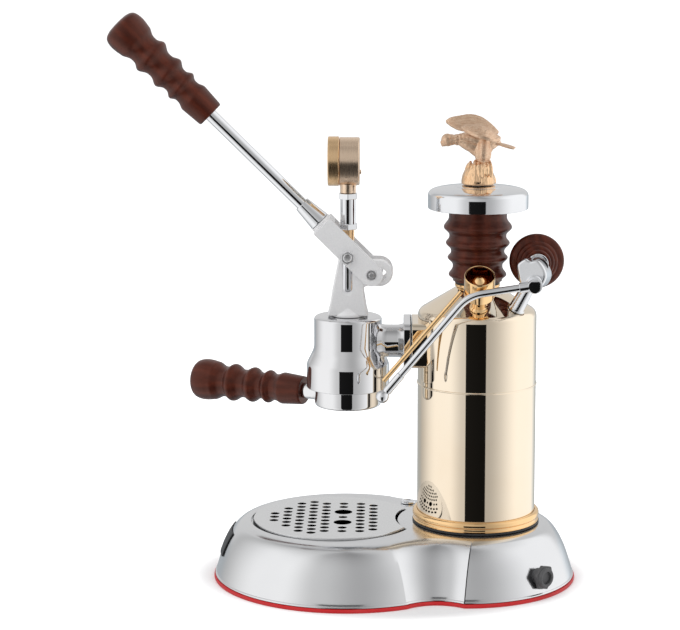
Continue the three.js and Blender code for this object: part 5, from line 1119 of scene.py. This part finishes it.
def wing(side, edges, raised):
    """Cambered sheet of feathers between a wing's two edges, closed all round."""
    inner, outer = (flowing(edge, 10) for edge in edges)
    shape = bmesh.new()
    rings = []
    for index, (near, far) in enumerate(zip(inner, outer)):
        along = index / (len(inner) - 1)
        over, under = [], []
        for row in range(FEATHER_ROWS + 1):
            across = row / FEATHER_ROWS
            ridge = abs(sin(pi * FEATHERS * (across + 0.12 * along)))
            step = 0.45 * ((along * 3.0 + 0.5 * across) % 1.0)
            belly = 2.2 * sin(pi * across) * sin(pi * min(along * 1.1, 1.0))
            thick = 0.8 + 0.5 * sin(pi * along)
            for side_list, lift in ((over, belly + 0.6 * ridge - step + thick),
                                    (under, belly - 0.4 * ridge - thick)):
                point = Vector(near).lerp(Vector(far), across) + raised * lift
                side_list.append(at_bird(point.x, side * point.y, point.z))
        rings.append([shape.verts.new(point) for point in over + under[::-1]])
    for first, second in zip(rings, rings[1:]):
        for a, b, c, d in zip(first, first[1:] + first[:1], second[1:] + second[:1], second):
            shape.faces.new((a, b, c, d))
    shape.faces.new(rings[0])
    shape.faces.new(rings[-1])
    return outward(shape)


def bird_leg(side):
    parts = [blade((4.6, side * 3.0, 374.0), (3.4, side * 4.0, 347.0), 12.6, 10.8, FORWARD),
             blade((0.2, side * 2.6, 368.0), (1.0, side * 3.4, 348.0), 8.6, 8.4, FORWARD),
             blade((6.4, side * 3.0, 366.0), (6.6, side * 4.0, 349.0), 7.0, 8.0, FORWARD)]
    for index in range(5):
        foot = (-2.4 + 2.9 * index, side * 5.6, 351.8 - 0.5 * abs(index - 2))
        toe = (-2.8 + 3.2 * index, side * (13.6 - 0.7 * abs(index - 2)), 337.6 + 1.4 * (index % 2))
        parts.append(blade(foot, toe, 3.6, 4.0, FORWARD))
    return parts


def feathered(centre, girth, along, count, length):
    """Row of short raised feathers round a part of the body."""
    half = Vector((length / 2, 0, 0))
    parts = []
    for index in range(count):
        turn = 2 * pi * (index + 0.5 * (along % 2)) / count
        off = Vector((0, girth * 0.93 * cos(turn), girth * sin(turn)))
        root = Vector(centre) + off
        parts.append(blade(root - half, root + half - off * 0.02, length * 0.55, 1.0, off))
    return parts


bird_parts = [wing(-1, NEAR_WING, Vector((0, 0.3, 0.95))),
              wing(1, FAR_WING, Vector((0, 0.75, -0.66))), *bird_leg(-1), *bird_leg(1)]
BODY = [((-19.0, 0, 369.4), (9.0, 0, 357.0), 12.0, 12.6),
        ((-12.0, 0, 368.0), (6.0, 0, 352.5), 10.4, 10.6),
        ((-6.0, 0, 366.0), (16.0, 0, 364.0), 13.0, 13.0),
        ((-15.5, 0, 370.6), (18.5, 0, 364.8), 13.2, 12.4),
        ((-7.5, 0, 374.0), (11.0, 0, 357.5), 12.0, 12.4),
        ((-9.0, 0, 376.5), (15.0, 0, 369.5), 11.5, 7.5)]
HEAD_AND_BEAK = [((-30.6, 0, 367.0), (-20.4, 0, 368.2), 8.6, 10.0),
                 ((-27.0, 0, 366.2), (-30.3, 0, 363.0), 4.4, 6.2),
                 ((-29.0, 0, 366.4), (-29.4, 0, 361.6), 2.6, 3.2, FORWARD),
                 ((-27.6, 0, 363.9), (-22.0, 0, 364.6), 4.0, 2.2)]
NECK_GIRTHS, NECK_HALF = (13.4, 12.4, 11.0, 9.4, 8.2, 8.2, 9.4, 10.6), Vector((5.0, 0, 0))
bird_parts += [blade(*row) for row in BODY]
for share, girth in enumerate(NECK_GIRTHS):
    centre = Vector((-6.0, 0, 368.4)).lerp(Vector((-25.2, 0, 367.2)), share / 7)
    bird_parts.append(blade(centre - NECK_HALF, centre + NECK_HALF, girth * 0.86, girth))
bird_parts += [blade(*row) for row in HEAD_AND_BEAK]
for side in (-1, 1):
    bird_parts.append(blade((-28.3, side * 3.6, 370.0), (-23.6, side * 4.1, 369.6), 1.8, 1.5))
    bird_parts.append(blade((-27.0, side * 3.9, 368.4), (-25.2, side * 4.1, 368.4), 1.3, 1.6))
for row in range(6):
    centre = (-17.5 + 3.1 * row, 0, 367.4 + 0.18 * row)
    bird_parts += feathered(centre, 4.3 + 0.42 * row, row, 9 + row, 3.6)
for index in range(7):
    fan = (index - 3) / 3
    tail_tip = (30.8 - 1.6 * abs(fan), 7.8 * fan, 361.0 - 0.5 * fan * fan)
    bird_parts.append(blade((12.0, 1.8 * fan, 365.6), tail_tip, 3.8, 2.2))
GOLDEN_TURN, ROCK_X, ROCK_SLANT = 2.399963, 0.2, 3.0
for index in range(26):
    across, back = cos(GOLDEN_TURN * index), sin(GOLDEN_TURN * index)
    foot, height = 14.1 - 0.17 * index, 335.0 + 0.44 * index
    top = foot - ROCK_SLANT
    rise = ROCK_SLANT + 2.2 + 1.4 * sin(3.0 * index)
    bird_parts.append(blade((ROCK_X + foot * across, foot * back, height - 3.4),
                            (ROCK_X + top * across, top * back, height + rise),
                            3.4, 2.8, (across, back, 0)))
MOUND = [(0, 331.3), (13.7, 331.3), (14, 332.4), (13.8, 335), (13.1, 338.4), (11.6, 342),
         (9.2, 345.4), (6.2, 347.8), (0, 348.8)]
bird = loose(with_parts(spun(MOUND, 48, BOILER_X), *bird_parts))
merged = bird.modifiers.new("merged", "REMESH")
merged.mode = "VOXEL"
merged.voxel_size = 0.4 * MM
eased = bird.modifiers.new("eased", "SMOOTH")
eased.factor = 0.5
eased.iterations = 2
cast_gold, surface, place = new_finish("cast_gold", Metallic=1.0)
height = place.id_data.nodes.new("ShaderNodeSeparateXYZ")
connect(place, height.inputs[0])
ROCK_TOP, MATT_FROM = 0.3455, 0.352
matt = smooth_step(height.outputs[2], ROCK_TOP, MATT_FROM)
quills = noise(stretched(place, (240.0, 1500.0, 1500.0), (0.0, 0.35, 0.0)), 1.0, 3.0)
grit = noise(place, 1500.0, 3.0)
skin = sums("ADD", times(quills, 0.6), times(grit, 0.5))
feather_gold = mixed(smooth_step(skin, 0.35, 0.75), (0.70, 0.43, 0.27), (0.96, 0.74, 0.55))
connect(mixed(matt, (0.90, 0.60, 0.36), feather_gold), surface.inputs["Base Color"])
matt_gloss = times(sums("ADD", 0.14, times(grit, 0.16)), matt)
connect(sums("ADD", 0.1, matt_gloss), surface.inputs["Roughness"])
strata = times(noise(stretched(place, (420.0, 420.0, 90.0)), 1.0, 2.0), 1.6)
bare = times(strata, sums("SUBTRACT", 1.0, matt))
bumped(surface, sums("ADD", times(skin, matt), bare), 0.9, 0.0006)
fitted(solved(bird), "eagle", cast_gold, "cap", "gold", "eagle_finial", smooth=70)

# Piston: a turned brass head with a rubber lip, on a steel rod that runs up through the group and
# is hung from the lever by a hexagon bolt.
HEAD = [(0, 0.7), (18.4, 0.7), (21.4, 2.1), (21.4, 4.15), (19.5, 4.15), (19.5, 8.75), (21.4, 8.75),
        (21.4, 12), (21, 12.2), (0, 12.2)]
fitted(on_group(HEAD, 72), "piston_crown", stem_brass, "piston", "brass", "piston_head")
coloured(black_rubber, "piston_seal")
rod = on_group([(0, 12.5), (5, 12.5), (5, 83.6), (4.5, 84.2), (0, 84.2)], 64)
fitted(rod, "piston_stem", trim_chrome, "piston", "steel", "piston_rod")
PIN_Z, PIN_FACE = 272.15, 15.5
BOLT_FLATS, BOLT_HEAD, BOLT_EDGE = 9.8, 4.0, 0.7
BOLT_SHANK = [(0, -20.7), (2.6, -20.7), (3, -20.2), (3, 17), (0, 17)]
BOLT_END = [(0, 19), (3.6, 19), (3.6, 19.7), (3.2, 19.95), (2.4, 19.7), (0, 19.6)]
bolt, far_head = (hex_bar(BOLT_FLATS, low, low + BOLT_HEAD, BOLT_EDGE)
                  for low in (PIN_FACE, -PIN_FACE - BOLT_HEAD))
with_parts(bolt, far_head, spun(BOLT_SHANK, 40), spun(BOLT_END, 40))
bolt_chrome = brushed_metal("bolt_chrome", (0.90, 0.90, 0.91), (0.82, 0.82, 0.83), 0.32, 0.12)
fitted(aimed(bolt, (GROUP_X, 0, PIN_Z), (0, -1, 0)), "hanger_bolt", bolt_chrome, "piston", "chrome",
       "rod_pin")

# Pressure gauge: a turned brass case and screwed ring on a chromed tube above the rod, with a plain
# white dial, a needle on its arbor and a glass. Brass parts are satin turned.
gauge_brass, pale_brass = (
    brushed_metal(name, clean, worn, 0.2, 0.16, (5000.0, 90.0, 90.0), 0.00003)
    for name, clean, worn in (("gauge_brass", (0.96, 0.68, 0.40), (0.89, 0.59, 0.32)),
                              ("pale_brass", (0.95, 0.75, 0.57), (0.88, 0.66, 0.48))))
GAUGE_Z, CASE_RADIUS = 349.6, 19.75


def on_gauge(shape):
    return aimed(shape, (GROUP_X, 0, GAUGE_Z), (-1, 0, 0))


collar = on_group([(0, 84.5), (5.2, 84.5), (5.2, 93.2), (0, 93.2)], 64)
fitted(collar, "gauge_collar", gauge_brass, "piston", "brass", "gauge_neck")
pillar = on_group([(0, 93.5), (6.35, 93.5), (6.35, 123.4), (0, 123.4)], 72)
for low in (93.5, 118.7):
    with_parts(pillar, moved(hex_bar(14.6, low, low + 4.7, 0.5), GROUP_X, 0, NECK_Z))
fitted(pillar, "gauge_pillar", trim_chrome, "piston", "chrome", "gauge_tube")
case = spun(filleted([(0, -9.6, 0), (CASE_RADIUS, -9.6, 1.4), (CASE_RADIUS, -6.0, 0),
                      (CASE_RADIUS, 6.6, 0), (CASE_RADIUS - 0.5, 7.0, 0), (18.4, 7, 0),
                      (18.4, 5.4, 0), (17.3, 5.4, 0), (17.3, -7.8, 0), (0, -7.8, 0)]), 144)
socket = on_group(filleted([(0, 123.7, 0), (6.5, 123.7, 0.4), (6.5, 128.5, 0), (7.6, 131.2, 0),
                            (0, 131.2, 0)]), 72)
screw = spun([(0, 0), (1.9, 0), (1.9, 0.9), (1.5, 1.25), (0, 1.3)], 32)
aimed(screw, (GROUP_X + 9.6, 0, 340.7), (1, 0, 0))
fitted(with_parts(on_gauge(case), socket, screw), "gauge_can", pale_brass, "piston", "brass",
       "gauge_case")
ring = spun([(17.95, 7.4), (19.9, 7.4), (20.35, 7.8), (20.35, 15.7), (20.1, 16.2), (19.6, 16.5),
             (18.4, 16.5), (18.15, 16.2), (17.95, 14.2), (19.15, 14.2), (19.15, 12.1),
             (17.95, 12.1), (17.95, 7.4)], 144)
fitted(on_gauge(ring), "gauge_ring", gauge_brass, "piston", "brass", "gauge_bezel")
glass_disc = spun([(0, 12.4), (18.3, 12.4), (18.55, 12.6), (18.55, 13.6), (18.3, 13.8), (0, 13.8)],
                  96)
fitted(on_gauge(glass_disc), "gauge_window", clear_glass, "piston", "glass", "gauge_glass")
dial_white = moulded("dial_white", (0.83, 0.82, 0.78), (0.72, 0.70, 0.64), 0.3, 0.03)
face = spun([(1.1, 5.7), (18.2, 5.7), (18.2, 6.5), (1.1, 6.5), (1.1, 5.7)], 96)
fitted(on_gauge(face), "dial_face", dial_white, "piston", "enamel", "gauge_dial")
dial_ink = moulded("dial_ink", (0.012, 0.012, 0.013), (0.03, 0.03, 0.03), 0.2, 0.02)


DIAL_PROUD, DIAL_START, DIAL_STEP, NUMBER_STEP = 6.56, -135.0, 13.5, 67.5


def dial_place(shape, radius, degrees):
    """Set a flat mark, drawn upright at the origin, on the dial as its viewer reads it."""
    turn = radians(degrees)
    across, up = radius * sin(turn), radius * cos(turn)
    upright = Matrix.Rotation(-pi / 2, 4, "Z") @ Matrix.Rotation(pi / 2, 4, "X")
    move = moved_to((GROUP_X - DIAL_PROUD, -across, GAUGE_Z + up))
    return transformed(shape, move @ upright)


marks = bmesh.new()
for step in range(21):
    turn = DIAL_START + DIAL_STEP * step
    wide, tall, reach = (0.3, 1.7, 16.0) if step % 5 else (0.5, 3.0, 15.4)
    mark = turned(box(wide, tall, 0.1), -radians(turn), "Z")
    with_parts(marks, dial_place(mark, reach, turn))
for number in range(5):
    text = bpy.data.curves.new("number", "FONT")
    text.body = str(number)
    text.size = 0.0042
    text.align_x, text.align_y = "CENTER", "CENTER"
    text.extrude = 0.00004
    figure = solved(placed("number", text))
    with_parts(marks, dial_place(figure, 11.2, DIAL_START + NUMBER_STEP * number))
fitted(marks, "dial_marks", dial_ink, "piston", "black_plastic")
coloured(dial_ink, "gauge_needle")

# Lever: two ground steel plates on a bridge, a turned conical sleeve, a chromed rod and a turned
# hardwood handle. It hangs on the rod's bolt and its pin rolls in the tower's ear.
LEVER_TURN, FULCRUM = -pi + radians(44.6), (23.2, 0, 257.4)
lever_place = moved_to(FULCRUM) @ Matrix.Rotation(LEVER_TURN, 4, "Y")


def on_lever(shape):
    return transformed(shape, lever_place)


def along(shape, start=0.0, height=0.0):
    """Lay a turned shape along X from a start."""
    return aimed(shape, (start, 0, height), (1, 0, 0))


PLATE_END, PLATE_HALF, PLATE_Y = 57.2, 9.45, 13.7
plate_outline = [(PLATE_END, -PLATE_HALF), (PLATE_END, PLATE_HALF),
                 *arc(0, 0, PLATE_HALF, pi / 2, 3 * pi / 2, 40)]
plates = [facing_plate(plate_outline, 3.0, side * PLATE_Y, 0.45, 2) for side in (-1, 1)]
bridge = soften(moved(box(6.0, 2 * PLATE_Y, 18.8), 54.2, 0, 0), 0.4)
shoulder = along(spun([(0, 56), (9.3, 56), (9.3, 59.2), (8.9, 59.9), (0, 59.9)], 96))
fitted(on_lever(with_parts(*plates, bridge, shoulder)), "lever_plates", satin_chrome, "lever",
       "chrome", "lever_fork")
sleeve = spun([(5.5, 60.2), (8.6, 60.2), (9, 60.6), (9, 61.6), (8.75, 62), (6.75, 80.2),
               (6.4, 80.8), (5.5, 80.8), (5.5, 60.2)], 96)
fitted(on_lever(along(sleeve)), "lever_cone", trim_chrome, "lever", "chrome", "lever_sleeve")
rod = spun([(0, 51.5), (4.16, 51.5), (4.16, 60.2), (5.2, 60.2), (5.2, 209), (0, 209)], 72)
fitted(on_lever(along(rod)), "lever_bar", trim_chrome, "lever", "chrome", "lever_rod")
HANDLE_LENGTH, BULB = 106.6, 17.4
HANDLE_HEAD = [(0, 0), (0.0015, 0.3), (0.006, 0.56), (0.02, 0.79), (0.045, 0.93), (0.09, 0.995),
               (0.14, 0.99), (0.19, 0.94)]
HANDLE_CRESTS = [(0.19, 0.94), (0.29, 0.745), (0.362, 0.91), (0.458, 0.685), (0.541, 0.85),
                 (0.622, 0.638), (0.683, 0.797), (0.742, 0.64), (0.82, 0.762)]
HANDLE_TAIL = [(0.82, 0.762), (0.91, 0.72), (0.975, 0.69), (0.993, 0.67), (1, 0.63)]


def turned_handle(bore, depth):
    """Ribbed handle with its inner end at height 0 and its bulb at the top."""
    head = [(radius * BULB, along * HANDLE_LENGTH) for along, radius in flowing(HANDLE_HEAD, 5)]
    crests = ribbed(HANDLE_CRESTS, HANDLE_LENGTH, BULB)
    tail = [(radius * BULB, along * HANDLE_LENGTH) for along, radius in flowing(HANDLE_TAIL, 4)]
    side = [(max(radius, 0), HANDLE_LENGTH - along) for radius, along in head[:-1] + crests + tail]
    side.reverse()
    return spun([(0, depth), (bore, depth), (bore, 0), *side], 128)


lever_wood = oiled_wood("lever_wood", (0.0, -LEVER_TURN, 0.0))
LEVER_GRIP_START = 185.4
fitted(on_lever(along(turned_handle(5.5, 24.0), LEVER_GRIP_START)), "lever_grip", lever_wood,
       "lever", "wood", "lever_handle", smooth=60)
PIN = [(0, -17.1), (1.9, -17.1), (2.2, -16.8), (2.2, -16.1), (4, -16.1), (4, -15.5), (2.2, -15.5),
       (2.2, -11.9), (4, -11.9), (4, 11.9), (2.2, 11.9), (2.2, 15.5), (4, 15.5), (4, 16.1),
       (2.2, 16.1), (2.2, 16.8), (1.9, 17.1), (0, 17.1)]
roller = aimed(spun(PIN, 56), (0, 0, 0), (0, 1, 0))
fitted(on_lever(roller), "fulcrum_roller", bolt_chrome, "lever", "steel", "fulcrum_pin")

# Portafilter: a bottomless cup, cast in brass with a stub for its handle, machined and chromed,
# with a pressed steel basket and a turned hardwood handle.
CUP_TURN, STUB_Z = pi - radians(27.0), -46.4
cup_place = moved_to((GROUP_X, 0, NECK_Z)) @ Matrix.Rotation(CUP_TURN, 4, "Z")


def on_cup(shape):
    return transformed(shape, cup_place)


CUP = [(21, -54.3, 0), (27.5, -54.3, 3.1), (27.5, -39.1, 0), (26, -39.1, 0), (26, -32.4, 0),
       (24.4, -32.4, 0), (24.4, -51.8, 0), (21, -51.8, 0), (21, -54.3, 0)]
cup = spun(filleted(CUP), 176)
stub = spun(filleted([(0, 25, 0), (8.2, 25, 0), (6.6, 30.5, 2), (6.6, 40.4, 0.5), (5.9, 41, 0),
                      (4.6, 41, 0), (4.6, 62, 0), (0, 62, 0)]), 72)
along(stub, 0.0, STUB_Z)
lugs = []
LUG_INNER, LUG_OUTER, LUG_Z, LUG_TALL, LUG_HALF = 25.2, 29.4, -34.9, 2.2, radians(22.0)
for middle in (-pi / 2, pi / 2):
    outline = arc(0, 0, LUG_OUTER, middle - LUG_HALF, middle + LUG_HALF, 16)
    outline += arc(0, 0, LUG_INNER, middle + LUG_HALF, middle - LUG_HALF, 16)
    lug = bmesh.new()
    filled(lug, ring_of(lug, outline, LUG_Z), (0, 0, 1))
    lugs.append(thickened(lug, LUG_TALL))
fitted(on_cup(with_parts(cup, stub, *lugs)), "filter_holder", group_chrome, "portafilter", "chrome",
       "portafilter_cup")
filter_wood = oiled_wood("filter_wood", (0.0, 0.0, -CUP_TURN))
FILTER_GRIP_START = 41.3
fitted(on_cup(along(turned_handle(4.9, 22.0), FILTER_GRIP_START, STUB_Z)), "filter_grip",
       filter_wood, "portafilter", "wood", "portafilter_handle", smooth=60)
coloured(steel, "filter_basket")
